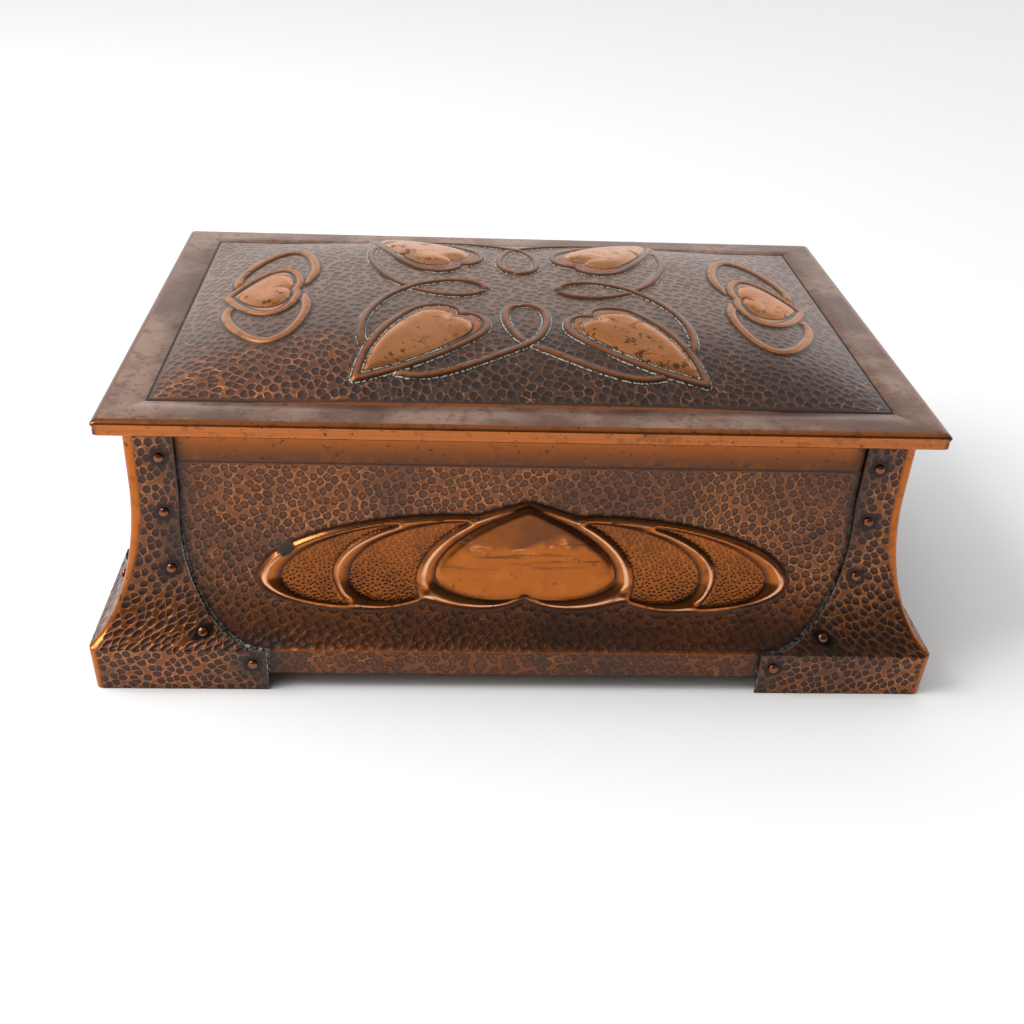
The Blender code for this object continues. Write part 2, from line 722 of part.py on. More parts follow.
def long_cords():
    """The knotted cord as four lines: front and back with a loop each, left and right with a loop each."""
    width, tip_x, tip_y = LOOP_HALF_WIDTH, HEART_TIP_X, HEART_TIP_Y
    crossing = LOOP_NEAR + LOOP_LENGTH
    front = [(0.0, LOOP_NEAR), (width * 0.78, LOOP_NEAR + LOOP_LENGTH * 0.12),
             (width, LOOP_NEAR + LOOP_LENGTH * 0.42), (width * 0.68, LOOP_NEAR + LOOP_LENGTH * 0.76),
             (0.0, crossing), (-tip_x * 0.26, tip_y * 0.85), (-tip_x * 0.47, tip_y * 0.94),
             (-tip_x * 0.64, tip_y * 0.975), (-tip_x * 0.765, tip_y * 0.955)]
    crossing = LOOP_END_NEAR + LOOP_END_LENGTH
    side = [(LOOP_END_NEAR, 0.0), (LOOP_END_NEAR + LOOP_END_LENGTH * 0.14, width * 0.78),
            (LOOP_END_NEAR + LOOP_END_LENGTH * 0.46, width),
            (LOOP_END_NEAR + LOOP_END_LENGTH * 0.78, width * 0.6),
            (crossing, 0.0), (tip_x * 0.87, -tip_y * 0.17), (tip_x * 0.97, -tip_y * 0.40),
            (tip_x * 0.99, -tip_y * 0.62), (tip_x * 0.95, -tip_y * 0.79)]
    lines = []
    for sign in (-1.0, 1.0):
        half = [np.array((x, sign * y)) for x, y in front]
        other = [point * (-1.0, 1.0) for point in half]
        lines.append(half[::-1] + other[1:])
        half = [np.array((sign * x, y)) for x, y in side]
        other = [point * (1.0, -1.0) for point in half]
        lines.append(half[::-1] + other[1:])
    return [moved(smooth_line(line, 2), (DESIGN_SHIFT, 0.0)) for line in lines]


def end_ring():
    """One ring of an end motif, from the heart's flank round to its lobe, in the heart's own frame."""
    shares = [(-0.84, 0.16), (-0.95, 0.38), (-0.74, 0.62), (-0.36, 0.84), (0.0, 0.96),
              (0.38, 0.98), (0.74, 0.84), (0.95, 0.58), (0.98, 0.34), (0.82, 0.13)]
    middle = END_HEART_LENGTH * 0.6
    points = [np.array((y * END_RING_REACH, middle + x * END_RING_HALF_WIDTH)) for x, y in shares]
    return smooth_line(points, 1)


def lid_design():
    """The lid's cords as (line, closed) and its cushions as (line, rise, reach of the swelling)."""
    cords = [(line, False) for line in long_cords()]
    cushions = []
    big = heart(HEART_LENGTH, HEART_HALF_WIDTH, steps=4)
    small = moved(heart(INNER_HEART_LENGTH, INNER_HEART_HALF_WIDTH, steps=4), (0.0, INNER_HEART_OFFSET))
    turn = HEART_TURN - math.radians(90.0)
    for flip_x in (-1.0, 1.0):
        for flip_y in (-1.0, 1.0):
            tip = (DESIGN_SHIFT + flip_x * HEART_TIP_X, -flip_y * HEART_TIP_Y)
            cords.append((moved(big, tip, turn, flip_x, flip_y), True))
            line = moved(small, tip, turn, flip_x, flip_y)
            cushions.append((line, INNER_HEART_RISE, INNER_HEART_HALF_WIDTH * 0.5))
    big = heart(END_HEART_LENGTH, END_HEART_HALF_WIDTH, 0.68, 4)
    small = moved(heart(END_INNER_LENGTH, END_INNER_HALF_WIDTH, 0.68, 4), (0.0, END_INNER_OFFSET))
    for side in (-1.0, 1.0):
        tip = (END_SHIFT + side * END_TIP_X, 0.0)
        turn = side * math.radians(90.0)
        cords.append((moved(big, tip, turn), True))
        cushions.append((moved(small, tip, turn), END_INNER_RISE, END_INNER_HALF_WIDTH * 0.4))
        for flip in (-1.0, 1.0):
            ring = [point * (flip, 1.0) for point in end_ring()]
            cords.append((moved(ring, tip, turn), False))
    return cords, cushions


def lid_relief(points, cords, cushions):
    """How far the cords and hearts stand above the dome at each point."""
    height = np.zeros(len(points))
    for line, closed in cords:
        share = np.clip(distance_to(points, line, closed) / (CORD_WIDTH / 2), 0.0, 1.0)
        height = np.maximum(height, CORD_RISE * np.sqrt(1.0 - share * share))
    for line, rise, reach in cushions:
        height = np.maximum(height, pillow(points, line, rise, reach))
    return height


def shrunk(loop, share):
    """A closed line drawn smaller about its middle."""
    middle = np.mean(loop, axis=0)
    return [middle + (point - middle) * share for point in loop]


def rectangle(half_length, half_depth, corner_cut=0.0):
    """The corners of a rectangle about the origin, each cut off where a cut is given."""
    if corner_cut == 0.0:
        spots = [(-1, -1), (1, -1), (1, 1), (-1, 1)]
        return [np.array((x * half_length, y * half_depth)) for x, y in spots]
    a, b = half_length - corner_cut, half_depth - corner_cut
    spots = [(-a, -half_depth), (a, -half_depth), (half_length, -b), (half_length, b),
             (a, half_depth), (-a, half_depth), (-half_length, b), (-half_length, -b)]
    return [np.array(spot) for spot in spots]


def panel_grid(x_shares, y_shares):
    """(border, inner points) of a grid over the domed panel, closer near its edges."""
    half_length = LID_LENGTH / 2 - RIM_WIDTH
    half_depth = LID_DEPTH / 2 - RIM_WIDTH
    xs = sorted({sign * share * half_length for share in x_shares for sign in (-1, 1)})
    ys = sorted({sign * share * half_depth for share in y_shares for sign in (-1, 1)})
    border = [(x, ys[0]) for x in xs] + [(xs[-1], y) for y in ys[1:]]
    border += [(x, ys[-1]) for x in xs[-2::-1]] + [(xs[0], y) for y in ys[-2:0:-1]]
    points = [np.array((x, y)) for x in xs[1:-1] for y in ys[1:-1]]
    return [np.array(spot) for spot in border], points


def lid_ring(inset, height):
    """The closed ring of points round the lid at an inset from its widest line."""
    flat = rectangle(LID_LENGTH / 2 - inset, LID_DEPTH / 2 - inset, LID_CORNER_CUT)
    return [Vector((x, y, height)) for x, y in flat]


def lid_top(shell):
    """The flat rim, the chased line, and the domed panel with its cords and hearts."""
    cords, cushions = lid_design()
    closed_lines, open_lines = [], []
    for line, closed in cords:
        kept = closed_lines if closed else open_lines
        kept += [line] + [offset_line(line, side * CORD_WIDTH / 2, closed) for side in (1.0, -1.0)]
    for line, _, _ in cushions:
        closed_lines += [line, shrunk(line, 0.6)]
    border, grid = panel_grid((0.0, 0.3, 0.58, 0.78, 0.91, 1.0), (0.0, 0.35, 0.65, 0.86, 1.0))
    lines = [line for line, _ in cords] + [line for line, _, _ in cushions]
    grid = clear_of(grid, lines, CORD_WIDTH)
    half_length, half_depth = LID_LENGTH / 2 - RIM_WIDTH, LID_DEPTH / 2 - RIM_WIDTH
    around = CHASED_WIDTH / 2
    grooves = [rectangle(half_length + around, half_depth + around),
               rectangle(half_length + 2 * around, half_depth + 2 * around)]
    rim = EDGE_ROUND_WIDTH
    outline = rectangle(LID_LENGTH / 2 - rim, LID_DEPTH / 2 - rim, LID_CORNER_CUT)
    corners, faces = cut_plane(outline, [border] + grooves + closed_lines, open_lines, grid, [])
    height = dome_at(corners) + lid_relief(corners, cords, cushions)
    height -= CHASED_DEPTH * (distance_to(corners, grooves[0], True) < WELD)
    spots = [Vector((x, y, LID_TOP + up)) for (x, y), up in zip(corners, height)]
    for face in faces:
        shell.face([spots[index] for index in face])


def lid_underside(shell, inset):
    """The underside within the lip: the flat rim and the hollow of the dome."""
    border, grid = panel_grid((0.0, 0.35, 0.65, 0.88, 1.0), (0.0, 0.45, 0.8, 1.0))
    outline = rectangle(LID_LENGTH / 2 - inset, LID_DEPTH / 2 - inset, LID_CORNER_CUT)
    corners, faces = cut_plane(outline, [border], [], grid, [])
    spots = [Vector((x, y, LID_TOP - LID_SHEET + up)) for (x, y), up in zip(corners, dome_at(corners))]
    for face in faces:
        shell.face([spots[index] for index in reversed(face)])


def lid_mesh():
    """The lid: a sheet with a domed panel, a rolled edge, a seat and a lip, all one piece."""
    seat = LID_OVERHANG + CASING_OUTER - SEAT_MARGIN
    lip_outer = LID_OVERHANG + CASING_INNER + LIP_CLEARANCE
    lip_inner = lip_outer + LIP_THICKNESS
    groove = LID_BOTTOM + EDGE_GROOVE_HEIGHT
    widest = LID_BOTTOM + EDGE_WIDEST_HEIGHT
    under = LID_TOP - LID_SHEET
    rings = [lid_ring(EDGE_ROUND_WIDTH, LID_TOP),
             lid_ring(EDGE_ROUND_WIDTH * 0.35, LID_TOP - (LID_TOP - widest) * 0.25),
             lid_ring(0.0, widest),
             lid_ring(EDGE_BAND_INSET * 0.5, groove + (widest - groove) * 0.3),
             lid_ring(EDGE_GROOVE_DEPTH, groove),
             lid_ring(EDGE_BAND_INSET, groove - EDGE_GROOVE_DEPTH * 0.6),
             lid_ring(EDGE_BAND_INSET, LID_BOTTOM + EDGE_UNDERSIDE_INSET - EDGE_BAND_INSET),
             lid_ring(EDGE_UNDERSIDE_INSET, LID_BOTTOM),
             lid_ring(EDGE_THICKNESS, LID_BOTTOM),
             lid_ring(EDGE_THICKNESS, under),
             lid_ring(seat, under),
             lid_ring(seat, LID_BOTTOM),
             lid_ring(lip_outer, LID_BOTTOM),
             lid_ring(lip_outer, LID_BOTTOM - LIP_DROP),
             lid_ring(lip_inner, LID_BOTTOM - LIP_DROP),
             lid_ring(lip_inner, under)]
    shell = Shell()
    lid_top(shell)
    for upper, lower in zip(rings, rings[1:]):
        shell.strip(lower, upper)
    lid_underside(shell, lip_inner)
    return shell.finish("lid")


# Rivets
def rivet_mesh():
    """A rivet whose head sits on its local ground and whose shank runs down, flush with the inside."""
    shell = Shell()
    shank_end = -(GAP + CASING_INNER)

    def ring(radius, height):
        return [Vector((x, y, height)) for x, y in circle((0.0, 0.0), radius)]

    rings = [ring(RIVET_HEAD_RADIUS * 0.6, RIVET_HEAD_HEIGHT * 0.8), ring(RIVET_HEAD_RADIUS, 0.0),
             ring(RIVET_SHANK_RADIUS, 0.0), ring(RIVET_SHANK_RADIUS, shank_end)]
    for upper, lower in zip(rings, rings[1:]):
        shell.strip(lower, upper)
    crown = Vector((0.0, 0.0, RIVET_HEAD_HEIGHT))
    for start, end in zip(rings[0], rings[0][1:] + rings[0][:1]):
        shell.face([start, end, crown])
    shell.face(rings[-1][::-1])
    return shell.finish("rivet")


# Objects
def copper(name, colour, roughness):
    """A copper material with its own tone."""
    material = bpy.data.materials.new(name)
    material.use_nodes = True
    shader = material.node_tree.nodes["Principled BSDF"]
    shader.inputs["Base Color"].default_value = (*colour, 1.0)
    shader.inputs["Roughness"].default_value = roughness
    shader.inputs["Metallic"].default_value = 1.0
    return material


def add_object(name, mesh, material, matrix=None):
    """An object of a mesh at its place, with its material on the mesh."""
    if not mesh.materials:
        mesh.materials.append(material)
    item = bpy.data.objects.new(name, mesh)
    bpy.context.scene.collection.objects.link(item)
    if matrix is not None:
        item.matrix_world = matrix
    return item


CORNERS = (("front_right", 0, 1.0, -1.0), ("back_right", 1, 1.0, 1.0),
           ("back_left", 2, -1.0, 1.0), ("front_left", 3, -1.0, -1.0))


def corner_place(quarter, side_x, side_y):
    """Takes a strap from the origin to its own corner of the casing."""
    place = Vector((side_x * BODY_HALF_LENGTH, side_y * BODY_HALF_DEPTH, 0.0))
    return Matrix.Translation(place) @ Matrix.Rotation(math.radians(90.0) * quarter, 4, "Z")


def add_straps(material):
    """The four straps, one mesh turned by a quarter from corner to corner."""
    mesh = strap_mesh()
    for name, quarter, side_x, side_y in CORNERS:
        add_object("strap_" + name, mesh, material, corner_place(quarter, side_x, side_y))


def rivet_place(across, height):
    """The place of a rivet on a strap at the origin: square to the sheets and just clear of them."""
    seat = strap_point(across, height, 0.0)
    out = (seat - strap_point(across, height, CASING_INNER)).normalized()
    rises = [(strap_point(across, height + step, 0.0) - seat).dot(out)
             for step in (-RIVET_HEAD_RADIUS, 0.0, RIVET_HEAD_RADIUS)]
    place = Matrix.Translation(seat + out * (GAP + max(rises)))
    return place @ out.to_track_quat("Z", "Y").to_matrix().to_4x4()


def add_rivets(material):
    """A row of rivets down both legs of every strap."""
    mesh = rivet_mesh()
    for name, quarter, side_x, side_y in CORNERS:
        corner = corner_place(quarter, side_x, side_y)
        for leg, sign in (("a", -1.0), ("b", 1.0)):
            for number, (distance, height) in enumerate(rivet_places(), 1):
                place = rivet_place(sign * distance, height)
                add_object(f"rivet_{name}_{leg}{number}", mesh, material, corner @ place)


def main():
    """Clears the scene and makes the casing, the lid, the straps and the rivets."""
    for item in list(bpy.data.objects):
        bpy.data.objects.remove(item, do_unlink=True)
    add_object("casing", casing_mesh(), copper("hammered_copper", (0.36, 0.16, 0.07), 0.42))
    add_object("lid", lid_mesh(), copper("lid_copper", (0.33, 0.17, 0.10), 0.38))
    add_straps(copper("strap_copper", (0.42, 0.18, 0.07), 0.36))
    add_rivets(copper("rivet_copper", (0.30, 0.13, 0.06), 0.40))


main()
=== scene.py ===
"""The looks of a copper casket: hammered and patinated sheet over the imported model, on a pale floor.

Every sheet starts as a flat plate, takes its relief from the named sizes, and is bent into place.
"""
import math
from types import SimpleNamespace

import bmesh
import bpy
import numpy as np
from mathutils import Matrix, Vector


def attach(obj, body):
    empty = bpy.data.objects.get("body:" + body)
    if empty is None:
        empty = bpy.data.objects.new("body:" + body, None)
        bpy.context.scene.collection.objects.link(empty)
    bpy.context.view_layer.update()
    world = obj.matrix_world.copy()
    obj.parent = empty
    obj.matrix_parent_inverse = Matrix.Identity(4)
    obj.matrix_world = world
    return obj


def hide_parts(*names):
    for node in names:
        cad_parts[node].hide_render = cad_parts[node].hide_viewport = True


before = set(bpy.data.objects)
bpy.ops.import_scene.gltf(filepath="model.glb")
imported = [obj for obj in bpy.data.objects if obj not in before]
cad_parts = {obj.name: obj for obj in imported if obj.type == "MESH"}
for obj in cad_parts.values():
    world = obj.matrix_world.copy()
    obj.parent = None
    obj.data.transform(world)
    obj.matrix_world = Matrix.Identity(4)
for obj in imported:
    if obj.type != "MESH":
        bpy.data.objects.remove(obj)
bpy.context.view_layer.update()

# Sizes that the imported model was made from, in metres
LID_LENGTH = 0.300
LID_DEPTH = 0.196
LID_OVERHANG = 0.0078
STRAP_TOP = 0.1037
BASE_CLEARANCE = 0.0075
CASING_SHEET = 0.0012
STRAP_SHEET = 0.0010
LID_SHEET = 0.0012
GAP = 0.0003
FLARE_START = 0.080
FLARE_DROP = 0.0625
FLARE_BULGE = 0.0232
FOOT_HEIGHT = 0.0192
FOOT_TAPER = 0.0005
CORNER_INSET = 0.0030
STRAP_WIDTH = 0.0182
FOOT_LENGTH = 0.0665
FOOT_END_SLANT = 0.0009
STRAP_SWEEP_RISE = 0.0488
RIVET_HEAD_RADIUS = 0.0019
RIVET_HEAD_HEIGHT = 0.0012
RIVET_SETBACK = 0.0056
LOW_RIVET_SETBACK = 0.0041
RIVET_TOP_DROP = 0.0120
RIVET_ABOVE_FOOT = 0.0049
RIVET_ROWS = 4
FOOT_RIVET_HEIGHT = 0.0128
TOP_STRIP = 0.0140
CHASED_WIDTH = 0.0012
CHASED_DEPTH = 0.0004
EDGE_HEIGHT = 0.0060
EDGE_ROUND_WIDTH = 0.0032
EDGE_WIDEST_HEIGHT = 0.0044
EDGE_GROOVE_HEIGHT = 0.0028
EDGE_GROOVE_DEPTH = 0.0008
EDGE_BAND_INSET = 0.0004
EDGE_UNDERSIDE_INSET = 0.0009
EDGE_THICKNESS = 0.0040
LID_CORNER_ROUND = 0.0012
SEAT_MARGIN = 0.0008
LIP_THICKNESS = 0.0012
LIP_DROP = 0.0060
LIP_CLEARANCE = 0.0007
RIM_WIDTH = 0.0170
DOME_RISE = 0.0120
DOME_POWER = 4
CORD_WIDTH = 0.0026
CORD_RISE = 0.0012
DESIGN_SHIFT = 0.0028
HEART_TIP_X = 0.0640
HEART_TIP_Y = 0.0712
HEART_LENGTH = 0.0626
HEART_HALF_WIDTH = 0.0166
HEART_TURN = math.radians(131.3)
INNER_HEART_OFFSET = 0.0036
INNER_HEART_LENGTH = 0.0530
INNER_HEART_HALF_WIDTH = 0.0132
INNER_HEART_RISE = 0.00245
LOOP_NEAR = 0.0172
LOOP_LENGTH = 0.0328
LOOP_HALF_WIDTH = 0.0080
LOOP_END_NEAR = 0.0150
LOOP_END_LENGTH = 0.0310
END_SHIFT = 0.0016
END_TIP_X = 0.1190
END_HEART_LENGTH = 0.0296
END_HEART_HALF_WIDTH = 0.0230
END_INNER_OFFSET = 0.0030
END_INNER_LENGTH = 0.0240
END_INNER_HALF_WIDTH = 0.0172
END_INNER_RISE = 0.0022
END_RING_HALF_WIDTH = 0.0165
END_RING_REACH = 0.0475
MOTIF_SHIFT = 0.0028
MOTIF_HALF_LENGTH = 0.1000
MOTIF_HEIGHT = 0.0430
MOTIF_BOTTOM = 0.0317
MOTIF_BAND_RISE = 0.0022
MOTIF_FIELD_RISE = 0.0005
FRONT_HEART_LENGTH = 0.0382
FRONT_HEART_HALF_WIDTH = 0.0340
FRONT_HEART_TIP_DROP = 0.0012
FRONT_HEART_RISE = 0.0032

BODY_HALF_LENGTH = LID_LENGTH / 2 - LID_OVERHANG
BODY_HALF_DEPTH = LID_DEPTH / 2 - LID_OVERHANG
PANEL_HALF_LENGTH = LID_LENGTH / 2 - RIM_WIDTH
PANEL_HALF_DEPTH = LID_DEPTH / 2 - RIM_WIDTH
LID_BOTTOM = STRAP_TOP + GAP
LID_TOP = LID_BOTTOM + EDGE_HEIGHT
CASING_OUTER = STRAP_SHEET + GAP
CASING_INNER = CASING_OUTER + CASING_SHEET

# Hammer marks: how far apart they are, in mm, and how deep, in m
WALL_MARKS = 3.5
LID_MARKS = 3.8
FIELD_MARKS = 1.6
MARK_DEPTH = 0.00013
MARK_SCATTER = 0.66

# How far the foot of each cord on the lid spreads into the dome, and how deep the line beside it is
CORD_FOOT = 0.0004
CORD_LINE_DEPTH = 0.0003

# The dark stain on the left end of the front figure
STAIN_PLACE = (-0.0872, -0.093, 0.0562)

# How finely the sheets are divided
FRONT_COLUMNS, FRONT_ROWS = 456, 168
SIDE_COLUMNS, BACK_COLUMNS, SIDE_ROWS = 204, 320, 112
STRAP_COLUMNS, BEND_COLUMNS = 144, 7
PANEL_COLUMNS, PANEL_ROWS = 336, 204

# Attributes are in mm; FAR stands for further than any finish looks
MM = 1000.0
FAR = 20.0


def hand_laid(along, run, height):
    """Places on a sheet in mm, slanted and wandering so that its marks keep no rows, and heights."""
    across, down = (0.86 * along - 0.51 * run) * MM, (0.51 * along + 0.86 * run) * MM
    return np.stack([across + 1.0 * np.sin(0.10 * down) + 0.3 * np.sin(0.23 * down + 0.10 * across),
                     down + 0.9 * np.sin(0.11 * across + 1.0) + 0.3 * np.sin(0.21 * across + 2.0),
                     height * MM], axis=1)


def unmarked(count, *names):
    """The distances in mm of a sheet that none of the named lines come near."""
    return {name: np.full(count, FAR) for name in names}


# Curves in the plane
def bezier(points, steps):
    """Points along a cubic Bezier, without its last point."""
    start, first, second, end = (np.array(point, dtype=float) for point in points)
    parts = [part / steps for part in range(steps)]
    return [(1 - t) ** 3 * start + 3 * (1 - t) ** 2 * t * first + 3 * (1 - t) * t * t * second
            + t ** 3 * end for t in parts]


def curve(start, *arcs):
    """Points along Beziers that follow each other, given as (steps, two handles, end)."""
    line = []
    for steps, first, second, end in arcs:
        line += bezier([start, first, second, end], steps)
        start = end
    return line


def mirrored(points):
    """A run of points and its mirror image across x = 0, joined into a closed line."""
    back = [np.array((-point[0], point[1])) for point in reversed(points[1:-1])]
    return list(points) + back


def heart(length, half_width, shoulder=0.8, steps=12):
    """A closed heart with its tip at the origin and its lobes along +y."""
    cusp = length * 0.94
    widest = length * shoulder
    half = curve((0, 0),
                 (steps, (half_width * 0.5, widest * 0.25), (half_width, widest * 0.62),
                  (half_width, widest)),
                 (steps, (half_width, widest + (length - widest) * 0.78),
                  (half_width * 0.3, length * 1.05), (0, cusp)))
    return mirrored(half + [np.array((0.0, cusp))])


def moved(points, place, angle=0.0, flip_x=1.0, flip_y=1.0):
    """Points turned from +y by an angle, flipped and moved to their place."""
    cosine, sine = math.cos(angle), math.sin(angle)
    result = []
    for x, y in points:
        turned = (x * cosine - y * sine, x * sine + y * cosine)
        result.append(np.array((place[0] + flip_x * turned[0], place[1] + flip_y * turned[1])))
    return result


def smooth_line(points, steps=6):
    """A Catmull-Rom line through points, with its ends kept."""
    ends = [2 * points[0] - points[1]] + list(points) + [2 * points[-1] - points[-2]]
    line = []
    for before, start, end, after in zip(ends, ends[1:], ends[2:], ends[3:]):
        line += bezier([start, start + (end - before) / 6, end - (after - start) / 6, end], steps)
    return line + [points[-1]]


def distance_to(points, line, closed, reach=0.020):
    """The distance of each point from a line, measured only within reach of it."""
    line = np.array(line)
    near = np.all((points > line.min(axis=0) - reach) & (points < line.max(axis=0) + reach), axis=1)
    away = np.full(len(points), reach)
    spots = points[near]
    best = np.full(len(spots), reach * reach)
    starts, ends = (line, np.roll(line, -1, axis=0)) if closed else (line[:-1], line[1:])
    for start, end in zip(starts, ends):
        run = end - start
        offset = spots - start
        share = np.clip(offset @ run / max(run @ run, 1e-16), 0.0, 1.0)
        rest = offset - share[:, None] * run
        best = np.minimum(best, (rest * rest).sum(axis=1))
    away[near] = np.sqrt(best)
    return away


def inside(points, loop):
    """Which points lie inside a closed line, as an array."""
    crossings = np.zeros(len(points), dtype=int)
    loop = np.array(loop)
    for (x0, y0), (x1, y1) in zip(loop, np.roll(loop, -1, axis=0)):
        if y0 != y1:
            spans = (y0 > points[:, 1]) != (y1 > points[:, 1])
            meets = x0 + (points[:, 1] - y0) * (x1 - x0) / (y1 - y0)
            crossings += spans & (points[:, 0] < meets)
    return crossings % 2 == 1


def within(points, loop):
    """The distance from a closed line, negative inside it."""
    away = distance_to(points, loop, True)
    return np.where(inside(points, loop), -away, away)


def dome_curve(share):
    """A quarter of a circle: 0 at share 0, rising steeply to 1 at share 1."""
    share = np.clip(share, 0.0, 1.0)
    return np.sqrt(1.0 - (1.0 - share) ** 2)


def ease(values, low, high):
    """A smooth step from 0 at low to 1 at high."""
    share = np.clip((values - low) / (high - low), 0.0, 1.0)
    return share * share * (3.0 - 2.0 * share)


# The profile of the walls
def wall_profile():
    """Heights and flares down the straps' outside, with the miters for sheets that lie deeper."""
    steep = math.asin((FLARE_START - FOOT_HEIGHT) / FLARE_DROP)
    turns = np.linspace(0.0, steep, 90)
    heights = np.concatenate([np.linspace(STRAP_TOP, FLARE_START, 40)[:-1],
                              FLARE_START - FLARE_DROP * np.sin(turns),
                              np.linspace(FOOT_HEIGHT, 0.0, 40)[1:]])
    flares = np.concatenate([np.zeros(39), FLARE_BULGE * (1.0 - np.cos(turns)), np.zeros(39)])
    flares[129:] = flares[128] - FOOT_TAPER * (1.0 - heights[129:] / FOOT_HEIGHT)
    for _ in range(3):
        flares[124:133] = (flares[123:132] + 2 * flares[124:133] + flares[125:134]) / 4
    runs = np.stack([heights[:-1] - heights[1:], flares[1:] - flares[:-1]], axis=1)
    lengths = np.linalg.norm(runs, axis=1)
    facing = runs / lengths[:, None]
    before, after = np.vstack([facing[:1], facing]), np.vstack([facing, facing[-1:]])
    miters = (before + after) / (1.0 + (before * after).sum(axis=1))[:, None]
    return heights, flares, miters, np.concatenate([[0.0], np.cumsum(lengths)])


HEIGHTS, FLARES, MITERS, RUN_DOWN = wall_profile()


def along_profile(height, values):
    """A quantity of the profile at each height."""
    return np.interp(height, HEIGHTS[::-1], values[::-1])


def profile_at(height, depth):
    """(flare, height) on the profile moved in by a depth."""
    flare = along_profile(height, FLARES) - depth * along_profile(height, MITERS[:, 0])
    return flare, height - depth * along_profile(height, MITERS[:, 1])


# Plates: flat, closed sheets that are bent into place
def plate(columns, rows, coarser, rings=0):
    """A flat plate from 0 to 1: a fine face at z 0, rings of edge, and a coarser back under them."""
    shape = bmesh.new()
    bmesh.ops.create_grid(shape, x_segments=columns, y_segments=rows, size=0.5)
    edge = [line for line in shape.edges if line.is_boundary]
    for _ in range(rings):
        made = bmesh.ops.extrude_edge_only(shape, edges=edge)["geom"]
        points = [item for item in made if isinstance(item, bmesh.types.BMVert)]
        edge = [item for item in made if isinstance(item, bmesh.types.BMEdge) and item.is_boundary]
        bmesh.ops.translate(shape, verts=points, vec=(0.0, 0.0, -1.0))
    back = bmesh.ops.create_grid(shape, x_segments=columns // coarser, y_segments=rows // coarser,
                                 size=0.5)["verts"]
    bmesh.ops.translate(shape, verts=back, vec=(0.0, 0.0, -rings - 1.0))
    back = set(back)
    edge += [line for line in shape.edges if line.is_boundary and line.verts[0] in back]
    bmesh.ops.bridge_loops(shape, edges=edge)
    bmesh.ops.translate(shape, verts=shape.verts, vec=(0.5, 0.5, 0.0))
    bmesh.ops.recalc_face_normals(shape, faces=shape.faces)
    return shape


def shares(flat):
    """How far the points of a plate lie from its middle, from -1 to 1, along and across."""
    return 2.0 * flat[:, 0] - 1.0, 2.0 * flat[:, 1] - 1.0


def add_object(name, data):
    """A new object in the scene."""
    made = bpy.data.objects.new(name, data)
    bpy.context.scene.collection.objects.link(made)
    return made


def add_piece(name, shape, bend, material, nodes):
    """Bends a plate into place, with its marks as attributes, and stands it for its CAD nodes."""
    mesh = bpy.data.meshes.new(name)
    shape.to_mesh(mesh)
    shape.free()
    flat = np.empty(len(mesh.vertices) * 3)
    mesh.vertices.foreach_get("co", flat)
    spots, marks = bend(flat.reshape(-1, 3))
    mesh.vertices.foreach_set("co", np.ascontiguousarray(spots, dtype=np.float32).ravel())
    for label, values in marks.items():
        kind, field = ("FLOAT_VECTOR", "vector") if values.ndim == 2 else ("FLOAT", "value")
        marked = mesh.attributes.new(label, kind, "POINT")
        marked.data.foreach_set(field, np.ascontiguousarray(values, dtype=np.float32).ravel())
    mesh.shade_smooth()
    mesh.set_sharp_from_angle(angle=math.radians(42.0))
    mesh.materials.append(material)
    piece = add_object(name, mesh)
    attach(piece, "root")
    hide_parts(*nodes)
    return piece


# Node building: a value knows its tree, so that masks and heights are written as plain sums
class Value:
    """A node's output that can be reckoned with: a mask, a height, or a length in mm."""

    def __init__(self, socket):
        self.socket = socket

    def __add__(self, other):
        return calc("ADD", self, other)

    def __radd__(self, other):
        return calc("ADD", other, self)

    def __sub__(self, other):
        return calc("SUBTRACT", self, other)

    def __rsub__(self, other):
        return calc("SUBTRACT", other, self)

    def __mul__(self, other):
        return calc("MULTIPLY", self, other)

    def __truediv__(self, other):
        return calc("DIVIDE", self, other)

    def __rtruediv__(self, other):
        return calc("DIVIDE", other, self)

    def __abs__(self):
        return calc("ABSOLUTE", self)


def feed(made, values):
    """Sets or links a node's inputs, by name or place."""
    for key, value in values.items():
        if isinstance(value, Value):
            made.id_data.links.new(value.socket, made.inputs[key])
        else:
            made.inputs[key].default_value = value
    return made


def node(kind, values, **settings):
    """A node with its settings, in the tree of the values that feed it."""
    tree = next(value.socket.id_data for value in values.values() if isinstance(value, Value))
    made = tree.nodes.new(kind)
    for setting, choice in settings.items():
        setattr(made, setting, choice)
    return feed(made, values)


def results(made):
    """A node's outputs, under their names in small letters."""
    return SimpleNamespace(**{out.name.lower().replace(" ", "_"): Value(out) for out in made.outputs})


def split(kind, value):
    """The three parts of a vector (XYZ) or of a colour (Color)."""
    return [Value(part) for part in node("ShaderNodeSeparate" + kind, {0: value}).outputs]


def calc(operation, *values):
    """One math node; a value is a number or the output of another node."""
    return Value(node("ShaderNodeMath", dict(enumerate(values)), operation=operation).outputs[0])


def either(first, second):
    """The stronger of two masks."""
    return calc("MAXIMUM", first, second)


def step(value, low, high):
    """0 below low and 1 above high, smooth between; low may be the greater one."""
    values = {"Value": value, "From Min": low, "From Max": high}
    return Value(node("ShaderNodeMapRange", values, interpolation_type="SMOOTHSTEP").outputs["Result"])


def hump(value, start, full, fading, end):
    """A mask that rises from start to full and falls again from fading to end."""
    return step(value, start, full) * step(value, end, fading)


def mix(share, first, second):
    """A colour between two, by a share from 0 to 1."""
    return Value(node("ShaderNodeMix", {0: share, 6: first, 7: second}, data_type="RGBA").outputs[2])


